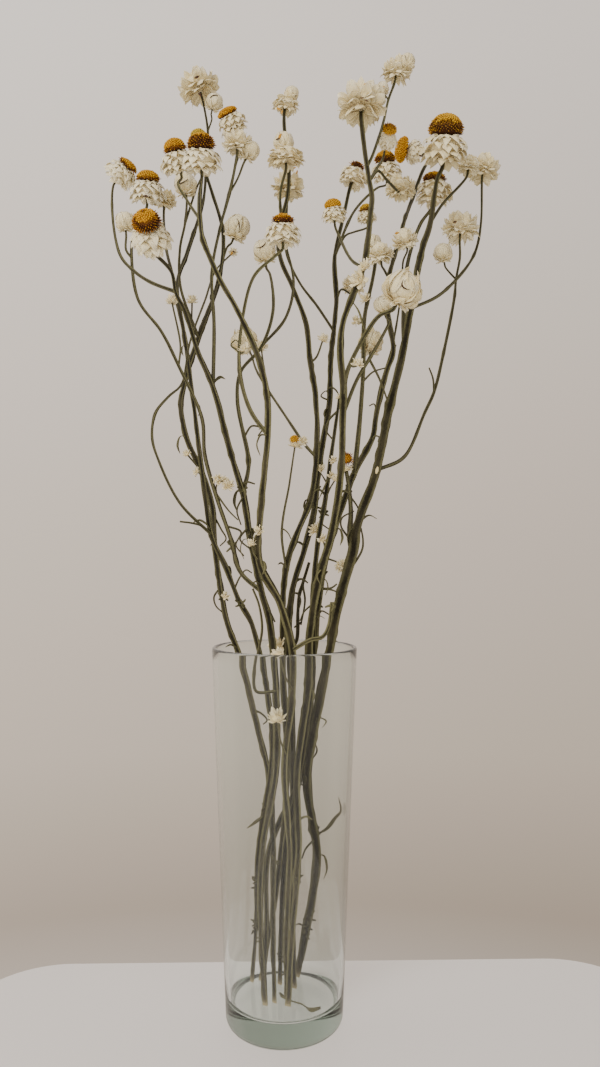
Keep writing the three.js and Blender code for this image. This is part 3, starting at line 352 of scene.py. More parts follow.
# Withered bits that show in heads, and dark bits of painted shade: (point of the picture, depth, length,
# degrees from level, tone)
FLECKS = (
    ((279, 109), 8, 3.5, -30, "gold"), ((282, 112), 8, 2.6, 70, "gold"), ((280, 136), -12, 4, 60, "gold"),
    ((278, 139), -12, 3, 20, "dark"), ((294, 168), 30, 3.4, 20, "gold"), ((297, 172), 30, 3, 80, "gold"),
    ((366, 84), -74, 3.2, 30, "gold"), ((362, 98), -79, 2.4, 10, "dark"),
    ((367, 101), -79, 2.2, -20, "dark"), ((397, 233), -24, 3.2, 12, "gold"),
    ((379, 89), -41, 2.6, 60, "gold"), ((383, 87), -41, 2.4, 20, "gold"), ((197, 77), 42, 4.2, 25, "dark"),
    ((200, 95), 41, 3.6, -55, "dark"), ((232, 253), 18, 3.0, 60, "gold"), ((234, 252), 18, 2.6, -30, "dark"),
    ((146, 196), -40, 3.2, -5, "dark"), ((231, 134), 8, 3.4, 20, "dark"), ((236, 139), 8, 3.0, 50, "gold"),
    ((240, 142), 8, 2.6, 80, "gold"), ((421, 156), -46, 3.2, -25, "dark"), ((455, 222), -4, 3.0, 5, "dark"),
    ((155, 204), -14, 3.2, 5, "dark"), ((377, 470), -17, 5.0, 78, "pale"), ((484, 155), 8, 3.4, 15, "dark"),
    ((172, 172), -36, 1.8, 60, "dark"),
)
FLECK_WIDTH = 0.22  # half width, in lengths
FLECK_TIP = 0.1  # how little of a bract's pale tip it has
# The leaf that has fallen on the vase's floor: points of the picture, their height and half width
FALLEN = ((280, 992), (288, 999), (300, 1003), (310, 1009), (320, 1007))
FALLEN_HEIGHT = 18.6
FALLEN_WIDTH = 3.2

# Layers of a head from its foot up. A bract's midline runs from its base past its bend to its tip,
# each given as radius and height in head radii: (bracts, base, bend, tip, half width).
BRACTS = {
    "skirt": [
        (13, (0.10, 0.00), (0.64, 0.16), (0.84, -0.24), 0.22),
        (14, (0.20, 0.14), (0.88, 0.40), (1.02, -0.08), 0.24),
        (14, (0.28, 0.34), (0.92, 0.72), (1.03, 0.16), 0.24),
        (13, (0.33, 0.54), (0.80, 0.98), (0.96, 0.42), 0.22),
        (12, (0.36, 0.68), (0.62, 1.02), (0.80, 0.68), 0.18),
        (12, (0.40, 0.78), (0.54, 0.96), (0.64, 0.84), 0.13),
    ],
    "spread": [
        (11, (0.08, 0.00), (0.56, 0.12), (0.74, -0.34), 0.21),
        (12, (0.10, 0.06), (0.82, 0.20), (1.00, -0.12), 0.24),
        (12, (0.12, 0.12), (0.88, 0.18), (1.05, 0.28), 0.25),
        (11, (0.14, 0.20), (0.82, 0.34), (0.99, 0.62), 0.25),
        (9, (0.14, 0.28), (0.64, 0.54), (0.82, 0.88), 0.24),
        (7, (0.12, 0.36), (0.42, 0.76), (0.54, 1.06), 0.23),
        (4, (0.06, 0.44), (0.16, 0.86), (0.22, 1.12), 0.20),
    ],
    # The ruff of a capped head; its cap is a small closed head above the ruff
    "capped": [
        (12, (0.10, 0.00), (0.60, 0.14), (0.80, -0.28), 0.22),
        (13, (0.14, 0.08), (0.82, 0.26), (0.98, -0.06), 0.24),
        (13, (0.18, 0.18), (0.88, 0.46), (1.03, 0.16), 0.24),
        (11, (0.22, 0.30), (0.80, 0.70), (0.95, 0.42), 0.23),
    ],
    # Pointed bracts that close over a closed head's scales, and the ones that hang loose at its foot
    "closing": [
        (6, (0.20, 0.50), (0.86, 1.20), (0.34, 1.70), 0.30),
        (7, (0.20, 0.24), (1.04, 0.84), (0.70, 1.44), 0.33),
        (8, (0.20, 0.08), (1.10, 0.42), (0.93, 1.04), 0.32),
        (8, (0.14, 0.02), (0.90, 0.12), (1.00, 0.58), 0.28),
    ],
    "loose": [
        (8, (0.10, 0.00), (0.62, 0.06), (0.92, 0.02), 0.22),
        (6, (0.10, 0.00), (0.50, 0.04), (0.78, -0.18), 0.18),
    ],
    # A bud with its closed top last, and a small withered head
    "bud": [
        (7, (0.12, 0.02), (0.66, 0.10), (1.00, 0.16), 0.24),
        (7, (0.18, 0.14), (0.66, 0.50), (1.00, 0.72), 0.25),
        (6, (0.16, 0.30), (0.44, 0.80), (0.66, 1.22), 0.25),
        (4, (0.10, 0.50), (0.20, 0.90), (0.20, 1.20), 0.22),
    ],
    "tuft": [
        (6, (0.10, 0.00), (0.60, 0.10), (1.00, 0.10), 0.26),
        (6, (0.10, 0.10), (0.60, 0.50), (0.95, 0.70), 0.27),
        (5, (0.10, 0.20), (0.40, 0.80), (0.50, 1.15), 0.26),
    ],
}
OUTER_LAYERS = 4  # layers of a head below its crown
# The solid heart of a head: its outline as shares of its radius and height, and its radius and
# height in head radii for an open head, one that is opening, a closed one, a bud and a tuft
CORE = ((0.12, 0.0), (0.42, 0.12), (0.58, 0.36), (0.58, 0.62), (0.44, 0.86), (0.16, 1.0))
CORE_SIDES = 12
OPEN_CORE, OPENING_CORE, CLOSED_CORE = (1.1, 0.86), (1, 1.1), (1.42, 1.64)
BUD_CORE, TUFT_CORE = (1, 0.7), (0.6, 0.4)
CLOSED_LIFT = 0.03  # how far a closed head's heart stands off its stalk
# The cap of each capped head: its size, how far it leans to the right and how high its foot is, in
# head radii
CAPS = {"14": (0.55, 0.34, 0.62), "15": (0.58, -0.16, 0.6)}

# Scales of a closed head: (scales, polar angles from the foot at which they start and end, half
# width as an angle, how far off the ball they lie, in ball radii)
SCALES = [
    (4, 60, 172, 0.86, 0.90),
    (5, 40, 150, 0.80, 0.93),
]
BALL_WIDTH = 0.95  # radius of the closed ball, in head radii
BALL_HEIGHT = 0.87  # half its height

# How golden the khaki of a head is; heads that aren't named have their kind's
GOLDEN = {"1": 0.45, "23": 0.3, "15": 0.75, "16": 0.7, "33": 0.75, "8": 0.8, "34a": 0.7, "35": 0.6,
          "26": 0.8, "10": 0.5, "6": 0.35, "7": 0.25}
KIND_GOLDEN = {"skirt": 0.5, "spread": 0.6, "capped": 0.6, "ball": 0.7}
# How tousled the outer and the inner layers of a skirt and of the other heads are, how their bracts
# are cupped and how crumpled they are
SKIRT_LOOK = (0.8, 0.4, {"cup": (0.0, 0.35), "crumple": 0.5})
OPEN_LOOK = (1.0, 1.0, {"cup": (0.1, 0.6), "crumple": 1.0})
# How much more golden its lowest bracts are
UNDER = {"23": 1.1, "1": 0.9, "26": 0.45, "15": 0.6, "33": 0.6, "16": 0.5, "8": 0.5}
# Heads whose bracts have shrunk back from the disc
SHRUNK = {"25": 0.82, "27": 0.86, "29": 0.9}
# Closed heads that have opened so far that their bracts stand off them, or stand loose
OPENING = ("36", "37")
FLUFFY = ("38", "20", "stem_9_88")
# The spread head that carries a small closed one: radius and place, in its own radii
CROWNED = {"22": (0.54, (0.66, -0.62, 0.62))}
# The head whose stalk runs straight into it from the side
NECKLESS = ("33",)

# The slit between a closed head's scales, a dark sheet of painted shadow: points from the middle of the
# ball, to the right and up as seen from the front, in ball radii
SLITS = {
    "stem_2_66": ((-0.42, -0.15), (-0.05, 0.16), (0.45, 0.15)),
    "9": ((-0.50, -0.34), (-0.10, -0.36), (0.36, -0.04)),
    "12": ((-0.05, 0.26), (0.18, -0.19), (0.10, -0.76)),
    "18": ((-0.66, -0.06), (-0.20, -0.05), (0.14, 0.36)),
    "38": ((-0.10, 0.12), (-0.14, -0.26), (0.24, -0.44)),
    "14": ((-0.10, -0.78), (0.35, -0.74), (0.66, -0.56)),
    "22": ((-0.45, 0.25), (-0.28, -0.1), (-0.24, -0.5)),
}

# How the florets of a disc have aged: the share of it, from the crown down, that is still golden,
# the share round the crown that is dark, and how green its gold is.
DISCS = {
    "2": (0.90, 0.0, 0.0), "4": (0.72, 0.0, 0.05), "5": (0.22, 0.0, 0.1), "5b": (1.2, 0.0, 0.75),
    "6": (0.62, 0.0, 0.1), "7": (0.74, 0.0, 0.1), "10": (0.34, 0.02, 0.0), "17": (0.50, 0.0, 0.0),
    "25": (1.2, 0.36, 0.1), "26": (0.50, 0.02, 0.25), "27": (0.95, 0.0, 0.0), "28": (0.56, 0.0, 0.05),
    "29": (0.12, 0.0, 0.0), "30": (1.0, 0.0, 0.1), "31": (0.60, 0.0, 0.4), "32": (0.55, 0.0, 0.1),
    "42": (1.2, 0.0, 0.1), "43": (0.5, 0.4, 0.0),
}
# Small discs of two buds, by the bud's place: (name, radius, rise, the way it faces, height)
BUD_DISCS = {
    (7, -6, 384): ("42", 2.5, 1.3, (-0.1, -0.8, 0.6), 3.4),
    (42, 4, 369): ("43", 3.6, 0.8, (0.1, -0.97, 0.25), 7.5),
}
# A disc's outline from its top to its underside: radius and height, in disc radii
DISC_PROFILE = [(0.0, 1.08), (0.24, 1.06), (0.46, 1.0), (0.68, 0.88), (0.86, 0.7), (0.96, 0.5), (0.97, 0.3),
                (0.86, 0.13), (0.62, 0.0)]
SKIRT_CROWN = 0.9  # height at which a disc stands, in head radii

# Bark in the grooves, near black as painted shade, on the wings, lighter partly as painted light, and in
# weathered patches, and how light each stem's is
BARK = ((0.012, 0.010, 0.005), (0.15, 0.14, 0.062), (0.062, 0.053, 0.027))
STEM_LIGHT = {"stem_1": 0.95, "stem_2": 0.9, "stem_3": 0.95, "stem_4": 1.25, "stem_5": 1.1, "stem_6": 0.95,
              "stem_7": 1.1, "stem_8": 0.8, "stem_9": 1.1, "stem_10": 0.9}

UP = np.array([0.0, 0.0, 1.0])


def unit(vector):
    vector = np.asarray(vector, float)
    return vector / np.linalg.norm(vector)


def unit_rows(vectors):
    return vectors / np.linalg.norm(vectors, axis=1)[:, None]


def round_angles(sides):
    return np.linspace(0, 2 * np.pi, sides, endpoint=False)


def turn_to(axis):
    """The rotation that takes +Z to an axis by the shortest way."""
    axis = unit(axis)
    v = np.cross(UP, axis)
    k = np.array([[0, -v[2], v[1]], [v[2], 0, -v[0]], [-v[1], v[0], 0]])
    return np.eye(3) + k + k @ k / (1 + axis[2])


def show(name, data):
    """A new object that stands in the scene."""
    piece = bpy.data.objects.new(name, data)
    bpy.context.scene.collection.objects.link(piece)
    return piece


class Shell:
    """Closed shells collected into one mesh, with the values that its material reads."""

    def __init__(self, *names):
        self.points, self.faces, self.count = [], [], 0
        self.values = {name: [] for name in names}

    def add(self, points, faces, **values):
        """One more closed shell, with its own value or values for each name."""
        points = np.asarray(points, float).reshape(-1, 3)
        self.points.append(points)
        for face in faces:
            self.faces.append([i + self.count for i in face])
        for name, store in self.values.items():
            store.append(np.broadcast_to(np.asarray(values[name], float), (len(points),)))
        self.count += len(points)

    def build(self, name, material, slot, *nodes):
        """The piece of all the shells, and the CAD nodes that it stands for."""
        mesh = bpy.data.meshes.new(name)
        mesh.from_pydata((np.concatenate(self.points) * MM).tolist(), [], self.faces)
        for key, store in self.values.items():
            attribute = mesh.attributes.new(key, "FLOAT", "POINT")
            attribute.data.foreach_set("value", np.concatenate(store).astype(np.float32))
        mesh.polygons.foreach_set("use_smooth", [True] * len(mesh.polygons))
        mesh.materials.append(material)
        mesh.update()
        piece = show(name, mesh)
        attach(piece, "root")
        if nodes:
            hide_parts(*nodes)
        return piece


@functools.cache
def tube(rings, sides):
    """Faces of rings joined in a row and closed at both ends, turned outwards."""
    faces = []
    for i in range(rings - 1):
        for j in range(sides):
            k = (j + 1) % sides
            faces.append([i * sides + j, i * sides + k, (i + 1) * sides + k, (i + 1) * sides + j])
    faces.append(list(range(sides - 1, -1, -1)))
    faces.append([(rings - 1) * sides + j for j in range(sides)])
    return faces


# Lines


def smooth_line(points, step):
    """A smooth curve through points, sampled about every step."""
    points = [np.asarray(p, float) for p in points]
    ends = [2 * points[0] - points[1], *points, 2 * points[-1] - points[-2]]
    line = []
    for a, b, c, d in zip(ends, ends[1:], ends[2:], ends[3:]):
        t1 = np.linalg.norm(b - a) ** 0.5
        t2 = t1 + np.linalg.norm(c - b) ** 0.5
        t3 = t2 + np.linalg.norm(d - c) ** 0.5
        count = max(2, round(np.linalg.norm(c - b) / step))
        for i in range(count):
            t = t1 + (t2 - t1) * i / count
            p1 = a * (t1 - t) / t1 + b * t / t1
            p2 = b * (t2 - t) / (t2 - t1) + c * (t - t1) / (t2 - t1)
            p3 = c * (t3 - t) / (t3 - t2) + d * (t - t2) / (t3 - t2)
            q1 = p1 * (t2 - t) / t2 + p2 * t / t2
            q2 = p2 * (t3 - t) / (t3 - t1) + p3 * (t - t1) / (t3 - t1)
            line.append(q1 * (t2 - t) / (t2 - t1) + q2 * (t - t1) / (t2 - t1))
    line.append(points[-1])
    return np.array(line)


def lengths(line):
    return np.concatenate([[0], np.cumsum(np.linalg.norm(np.diff(line, axis=0), axis=1))])


def frames(line, first_side=None):
    """Directions to the side of and across a line, without twist."""
    along = unit_rows(np.gradient(line, axis=0))
    side = np.cross(along[0], (0, 1, 0)) if first_side is None else np.asarray(first_side, float)
    sides = []
    for direction in along:
        side = side - direction * np.dot(side, direction)
        side = side / np.linalg.norm(side)
        sides.append(side)
    sides = np.array(sides)
    return sides, np.cross(along, sides)


def turned(side, across, angle):
    """The two directions after a turn round the line, with one angle for each of their rows."""
    c, s = np.cos(angle)[:, None], np.sin(angle)[:, None]
    return side * c + across * s, across * c - side * s


def ring_points(line, side, across, reach_side, reach_across):
    """A ring of points round each point of a line."""
    return (line[:, None, :] + reach_side[:, :, None] * side[:, None, :]
            + reach_across[:, :, None] * across[:, None, :])


def wander(rng, distance, pitch, amount):
    """A smooth random value along a line: knots every pitch."""
    knots = int(distance[-1] / pitch) + 3
    values = [rng.uniform(-amount, amount) for _ in range(knots)]
    return np.interp(distance / pitch, range(knots), values)


def bend(base, middle, tip, share):
    """Points of a curve from base to tip that leans towards middle."""
    share = share[:, None]
    base, middle, tip = (np.asarray(p, float)[None, :] for p in (base, middle, tip))
    return base * (1 - share) ** 2 + 2 * middle * share * (1 - share) + tip * share ** 2


# Stems, twigs and leaves

WING_SIDES = 24
TWIG_SIDES = 9
CURL_SIDES = 6


def bark_height(line, sides):
    """How high each point of the rings round a line lies, in vase heights."""
    return np.repeat(line[:, 2] / VASE_HEIGHT, sides)


def add_stalk(shell, route, thick, thin, main, rng):
    """A ridged stalk along a route. A main stem has a cut end and carries three thin wavy wings."""
    line = smooth_line(route, 2.2 if main else 1.8)
    distance = lengths(line)
    share = distance / distance[-1]
    if main:
        above = np.maximum(0, (share - THICKEST) / (1 - THICKEST))
        below = np.maximum(0, 1 - share / THICKEST)
        radius = thick + (thin - thick) * above ** 2 - (1 - CUT_SHARE) * thick * below
    else:
        radius = thick + (thin - thick) * share
    radius = radius * (1 + wander(rng, distance, 11, 0.08))
    for _ in range(int(distance[-1] / 55)):
        node = rng.uniform(0.08, 0.92) * distance[-1]
        radius = radius * (1 + rng.uniform(0.1, 0.28) * np.exp(-((distance - node) / 2.6) ** 2))
    sides = WING_SIDES if main else TWIG_SIDES
    angle = round_angles(sides)
    side, across = frames(line)
    if main:
        side[0] = unit((side[0][0], side[0][1], 0))
        across[0] = np.cross(UP, side[0])
        reach = np.full((len(line), sides), GROOVE + 0.04)
        reach += 0.05 * np.cos(9 * angle)[None, :]
        ridge = np.zeros_like(reach)
        for k in range(3):
            centre = 2 * np.pi * k / 3 + wander(rng, distance, 14, 0.24)
            height = (WING - GROOVE) * (0.96 + wander(rng, distance, 9, 0.22))
            off = np.angle(np.exp(1j * (angle[None, :] - centre[:, None])))
            blade = np.exp(-(off / 0.26) ** 2)
            reach += height[:, None] * blade
            ridge += blade
    else:
        turn = wander(rng, distance, 30, 0.5)
        ridge = 0.5 + 0.5 * np.cos(3 * (angle[None, :] - turn[:, None]))
        reach = 0.86 + 0.3 * ridge + wander(rng, distance, 6, 0.05)[:, None]
    reach = reach * radius[:, None]
    points = ring_points(line, side, across, reach * np.cos(angle), reach * np.sin(angle))
    shell.add(points, tube(len(line), sides), ridge=np.clip(ridge, 0, 1).reshape(-1),
              height=bark_height(line, sides), end=np.repeat(np.exp(-distance / 2.0) * main, sides))
    return line


LEAF_THICKNESS = 0.34
# A leaf's section: place across in half widths, over its upper face and back under it
LEAF_SECTION = (-1, -0.5, 0, 0.5, 1, 0.5, 0, -0.5)
# How wide a leaf on a stem, a shred and the fallen leaf are from the foot to the tip
LEAF_TAPER = (0.35, 0.55, 0.95, 1.0, 0.6, 0.1)
SHRED_TAPER = (0.3, 0.7, 1.0, 0.9, 0.6, 0.1)
FALLEN_TAPER = (0.3, 0.9, 0.5, 1.0, 0.7, 0.3)


def add_leaf(shell, line, width, rng, taper):
    """A dry folded leaf along a line: a thin trough that twists and narrows to its tip."""
    line = np.asarray(line, float)
    distance = lengths(line)
    share = distance / distance[-1]
    half = width * np.interp(share, np.linspace(0, 1, len(taper)), taper)
    side, across = frames(line, unit(np.cross(line[1] - line[0], (0.13, 0.21, 1))))
    twist = rng.uniform(-1.4, 1.4) * share ** 1.5 + rng.uniform(-0.5, 0.5)
    side, across = turned(side, across, twist)
    fold = rng.uniform(0.35, 0.8)
    rows = []
    ridge = []
    for u in LEAF_SECTION:
        under = len(rows) > 4
        lift = fold * (u * u - 0.4) * half + (-LEAF_THICKNESS if under else 0)
        if abs(u) == 1:
            lift = lift - LEAF_THICKNESS / 2
        rows.append(line + side * (u * half)[:, None] + across * lift[:, None])
        # The bark ramp reads this: painted shade darkens the trough along the fold, as in the grooves
        ridge.append(np.full(len(line), 0.75 - 0.4 * (1 - abs(u)) + (0.15 if under else 0)))
    sides = len(LEAF_SECTION)
    shell.add(np.stack(rows, axis=1), tube(len(line), sides), ridge=np.stack(ridge, axis=1).reshape(-1),
              height=bark_height(line, sides), end=0.0)


# The camera's place and reach, for points that are given as they are seen
EYE = (10.4, -575, 315)
EYE_TILT = math.radians(1.1)
LENS = 28.68
PIXELS = 850  # width in the picture of a thing seen from as far off as it is wide
MIDDLE = (300, 533.5)  # the picture's middle
BEHIND = 0.01  # what a stem loses for each millimetre that it stands farther back, in pixels


def seen(point, depth):
    """The place of a point of the picture at a given depth, in millimetres."""
    across, up = (point[0] - MIDDLE[0]) / PIXELS, (MIDDLE[1] - point[1]) / PIXELS
    reach = (depth - EYE[1]) / (math.cos(EYE_TILT) - up * math.sin(EYE_TILT))
    return np.array([EYE[0] + across * reach, depth,
                     EYE[2] + reach * (math.sin(EYE_TILT) + up * math.cos(EYE_TILT))])


def seen_at_height(point, height):
    """The place of a point of the picture at a given height, in millimetres."""
    slope = math.tan(math.atan((MIDDLE[1] - point[1]) / PIXELS) + EYE_TILT)
    return seen(point, (height - EYE[2]) / slope + EYE[1])


def nearest(lines, point):
    """The stem and the place on its line that is seen nearest to a point of the picture."""
    best = None
    for name, line in lines:
        ahead = line[:, 1] - EYE[1]
        rise = (line[:, 2] - EYE[2]) / ahead
        px = MIDDLE[0] + PIXELS * (line[:, 0] - EYE[0]) / ahead
        py = MIDDLE[1] - PIXELS * np.tan(np.arctan(rise) - EYE_TILT)
        off = np.hypot(px - point[0], py - point[1]) + BEHIND * line[:, 1]
        i = int(np.argmin(off))
        if best is None or off[i] < best[0]:
            best = off[i], name, line[i]
    return best[1:]


def add_tendril(shell, route, thick, thin, rng):
    """A thin dry curl."""
    line = smooth_line(route, 0.9)
    distance = lengths(line)
    radius = (thick + (thin - thick) * distance / distance[-1])[:, None]
    angle = round_angles(CURL_SIDES)
    side, across = frames(line)
    points = ring_points(line, side, across, radius * np.cos(angle) * 1.3, radius * np.sin(angle) * 0.7)
    shell.add(points, tube(len(line), CURL_SIDES), ridge=rng.uniform(0.3, 0.6),
              height=bark_height(line, CURL_SIDES), end=0.0)


def draws(seed):
    """A repeatable draw between -1 and 1."""
    state = seed
    while True:
        state = (state * 1664525 + 1013904223) % 4294967296
        yield state / 4294967296 * 2 - 1


# How a leaf leaves its stem: outwards and upwards, in its length
RISING = ((0, 0), (0.2, 0.42), (0.52, 0.62), (0.84, 0.46))
HANGING = ((0, 0), (0.34, 0.04), (0.5, -0.4), (0.34, -0.86))


def leaf_line(root, degrees, length, draw):
    """The line of a leaf that grows from a point of its stem."""
    angle = math.radians(degrees)
    outward = np.array([math.cos(angle), math.sin(angle), 0])
    sideways = np.array([-outward[1], outward[0], 0]) * 0.25 * length * next(draw)
    curl = RISING if next(draw) > -0.2 else HANGING
    points = [np.array(root, float) + outward * out * length + UP * up * length + sideways * (i / 3) ** 2
              for i, (out, up) in enumerate(curl)]
    return smooth_line(points, length / 12)


# Heads

BRACT_SHARE = np.array([0.0, 0.14, 0.30, 0.47, 0.64, 0.80, 0.93, 1.0])
POINTED = np.array([0.40, 0.72, 0.93, 1.0, 0.90, 0.63, 0.27, 0.03])
ROUNDED = np.array([0.5, 0.84, 0.98, 1.0, 0.94, 0.76, 0.48, 0.14])
# A bract's section: place across in half widths, and which of its faces
BRACT_SECTION = ((-1, 0), (-0.86, 1), (-0.34, 1), (0.34, 1), (0.86, 1), (1, 0), (0.86, -1), (0.34, -1),
                 (-0.34, -1), (-0.86, -1))
BRACT_THICKNESS = 0.16
# Tones of a pale scar, of a withered floret's gold and of the dark inside of a head, which is painted shade
TONES = {"pale": 1.35, "gold": 2.15, "dark": 2.75}


def add_bract(shell, midline, sideways, half, cup, twist, tone, rng, crumple=1.0):
    """One papery bract: a thin cupped blade along its midline. Sideways is its breadth's direction,
    and cup is how far its edges rise off its midline, in half widths."""
    along = unit_rows(np.gradient(midline, axis=0))
    side = unit_rows(sideways - along * (along @ sideways)[:, None])
    side, out = turned(side, np.cross(side, along), twist * BRACT_SHARE)
    wave = crumple * rng.uniform(-0.30, 0.30)
    lean = crumple * rng.uniform(-0.2, 0.2)
    pitch = rng.uniform(3.5, 7.5)
    rows, across = [], []
    for u, face in BRACT_SECTION:
        ripple = wave * u * np.sin(pitch * BRACT_SHARE + 4 * lean) + 0.10 * math.sin(3 * u + 9 * lean)
        lift = half * (cup * (u * u - 0.3) + lean * u + ripple) + face * BRACT_THICKNESS / 2
        rows.append(midline + side * (u * half)[:, None] + out * lift[:, None])
        across.append(np.full(len(midline), u))
    sides = len(BRACT_SECTION)
    shell.add(np.stack(rows, axis=1), tube(len(midline), sides), tip=np.repeat(BRACT_SHARE, sides),
              across=np.stack(across, axis=1).reshape(-1), tone=tone)


def add_layers(shell, layers, radius, place, turn, rng, yellow, tousle=1.0, cup=(0.1, 0.6), under=0.2,
               crumple=1.0):
    """Layers of pointed bracts round a head's axis."""
    for level, (count, base, middle, tip, half) in enumerate(layers):
        phase = rng.uniform(0, 6.28)
        for i in range(count):
            angle = phase + 2 * math.pi * (i + tousle * rng.uniform(-0.4, 0.4)) / count
            reach = 1 + rng.uniform(-0.12, 0.06)
            drop = tousle * rng.uniform(-0.10, 0.10)
            hook = tousle * rng.uniform(-0.10, 0.10)
            end = tip[0] * reach, tip[1] + drop + hook
            flat = bend(base, (middle[0], middle[1] + drop), end, BRACT_SHARE) * radius
            sway = angle + tousle * rng.uniform(-0.26, 0.26) * BRACT_SHARE ** 2
            local = np.stack([flat[:, 0] * np.cos(sway), flat[:, 0] * np.sin(sway), flat[:, 1]], axis=1)
            sideways = np.array([-math.sin(angle), math.cos(angle), 0])
            widths = half * radius * rng.uniform(0.85, 1.15) * POINTED
            tone = yellow + rng.uniform(0, 0.4) + under * (1 - level / len(layers))
            add_bract(shell, local @ turn.T + place, turn @ sideways, widths, rng.uniform(*cup),
                      tousle * rng.uniform(-0.8, 0.8), tone, rng, crumple)


def add_scale(shell, radius, place, turn, azimuth, polar, half, size, tone, lift, thickness=0.02):
    """One broad scale that hugs a closed head: a patch of the ball between two polar angles."""
    wide, tall = BALL_WIDTH * radius, BALL_HEIGHT * radius
    across = np.array([-1, -0.86, -0.36, 0, 0.36, 0.86, 1, 0.86, 0.36, 0, -0.36, -0.86])
    face = np.array([0, 1, 1, 1, 1, 1, 0, -1, -1, -1, -1, -1])
    sides = len(across)
    angle = np.radians(polar[0]) + np.radians(polar[1] - polar[0]) * BRACT_SHARE[:, None]
    spread = azimuth + half * ROUNDED[:, None] * across / np.maximum(np.sin(angle), 0.3)
    reach = size + lift * across ** 2 + lift * BRACT_SHARE[:, None] ** 2 + thickness * face / 2
    local = np.stack([wide * reach * np.sin(angle) * np.cos(spread),
                      wide * reach * np.sin(angle) * np.sin(spread),
                      tall * (1 - reach * np.cos(angle))], axis=2)
    shell.add(local.reshape(-1, 3) @ turn.T + place, tube(len(BRACT_SHARE), sides),
              tip=np.repeat(0.35 + 0.65 * BRACT_SHARE, sides), across=np.tile(across, len(BRACT_SHARE)),
              tone=tone)


def add_ball(shell, radius, place, turn, rng, slit=None, fluffy=False, lift=0.0):
    """Broad scales that close over each other, and a few broad bracts loose round the foot."""
    for count, start, end, half, size in SCALES:
        phase = rng.uniform(0, 6.28)
        for i in range(count):
            azimuth = phase + 2 * math.pi * (i + rng.uniform(-0.25, 0.25)) / count
            polar = (start, end * rng.uniform(0.9, 1.0))
            add_scale(shell, radius, place, turn, azimuth, polar, half * rng.uniform(0.8, 1.1),
                      size + rng.uniform(-0.015, 0.02), rng.uniform(0.9, 1.5), rng.uniform(0.02, 0.08))
    if fluffy:
        look = {"yellow": 1.2, "tousle": 1.5, "cup": (-0.2, 0.5)}
    else:
        look = {"yellow": 1.05, "tousle": 0.75, "cup": (-0.4, 0.1)}
    add_layers(shell, BRACTS["closing"], (1.04 if fluffy else 0.96) * radius, place, turn, rng, **look)
    add_layers(shell, BRACTS["loose"], radius, place, turn, rng, 0.5)
    if slit:
        add_slit(shell, radius, place + turn @ UP * BALL_HEIGHT * radius, slit)
    add_core(shell, radius, CLOSED_CORE, place + turn @ UP * lift * radius, turn)


SLIT_STEPS = 9
# The gap's painted shadow and its lip: tone, place along a bract, lower and upper edge, reach at its foot and
# top
SLIT_PAINTED_SHADOW = (TONES["dark"], 0.2, -0.07, 0.04, 0.98, 1.09)
SLIT_LIP = (0.9, 0.8, 0.02, 0.16, 0.94, 1.10)


def add_slit(shell, radius, centre, slit):
    """A dark sheet of painted shadow in the gap between two scales on the front of a closed head, under a
    pale lip.
    """
    share = np.linspace(0, 1, SLIT_STEPS)
    flat = bend(slit[0], 2 * np.array(slit[1]) - (np.array(slit[0]) + slit[2]) / 2, slit[2], share)
    flat = np.hstack([flat, np.zeros((SLIT_STEPS, 1))])
    along = np.gradient(flat, axis=0)
    up = unit_rows(np.stack([-along[:, 1], along[:, 0], np.zeros(SLIT_STEPS)], axis=1))
    width = np.sin(math.pi * np.clip(share, 0.04, 0.96))
    for tone, tip, low, high, near, far in (SLIT_PAINTED_SHADOW, SLIT_LIP):
        rows = []
        for across, reach in ((low, near), (low, far), ((low + high) / 2, far + 0.015), (high, near)):
            point = flat + up * (across * width)[:, None]
            depth = np.sqrt(np.maximum(0, 1 - (point[:, :2] ** 2).sum(axis=1)))
            ball = np.stack([point[:, 0], -depth, point[:, 1]], axis=1) * reach
            rows.append(centre + ball * radius * (BALL_WIDTH, BALL_WIDTH, BALL_HEIGHT))
        shell.add(np.stack(rows, axis=1), tube(SLIT_STEPS, 4), tip=tip, across=0.0, tone=tone)


def turned_rings(profile, sides):
    """Rings of points round the Z axis for each radius and height of a profile."""
    return np.array([(r * math.cos(a), r * math.sin(a), h) for r, h in profile for a in round_angles(sides)])


def add_core(shell, radius, size, place, turn, tone=0.9):
    """The solid heart that the bracts stand on."""
    wide, tall = (share * radius for share in size)
    local = turned_rings([(r * wide, h * tall) for r, h in CORE], CORE_SIDES)
    shell.add(local @ turn.T + place, tube(len(CORE), CORE_SIDES), tip=0.1, across=0.0, tone=tone)


# A floret's outline from its foot to its top: radius in spacings and height in floret heights
RIPE_FLORET = ((0.36, -0.35), (0.26, 0.5), (0.07, 1.0))
YOUNG_FLORET = ((0.30, -0.3), (0.50, 0.5), (0.32, 0.86))
FLORET_SIDES = 5
GOLDEN_ANGLE = 2.39996  # turn from one floret of the spiral to the next
DOME = 0.94  # size of the dome under the florets, in disc sizes
DOME_SIDES = 28


def floret(foot, normal, radial, spacing, share, ripe, rng):
    """The points of one floret. Share is how far down the disc it stands."""
    tall = rng.uniform(0.6, 1.2) * (1.5 if ripe and share > 0.3 else 0.85)
    if ripe and share > 0.7:
        tall *= 1.3
    lean = normal + radial * (0.35 if ripe else 0.05)
    lean = unit(lean + np.array([rng.uniform(-0.2, 0.2) for _ in range(3)]))
    phase = rng.uniform(0, 6.28)
    first = unit(np.cross(lean, np.cross(UP, radial) + radial * 0.01))
    second = np.cross(lean, first)
    points = []
    for wide, high in RIPE_FLORET if ripe else YOUNG_FLORET:
        middle = foot + lean * high * tall
        for k in range(FLORET_SIDES):
            a = phase + 2 * math.pi * k / FLORET_SIDES
            points.append(middle + (first * math.cos(a) + second * math.sin(a)) * wide * spacing)
    return np.array(points)


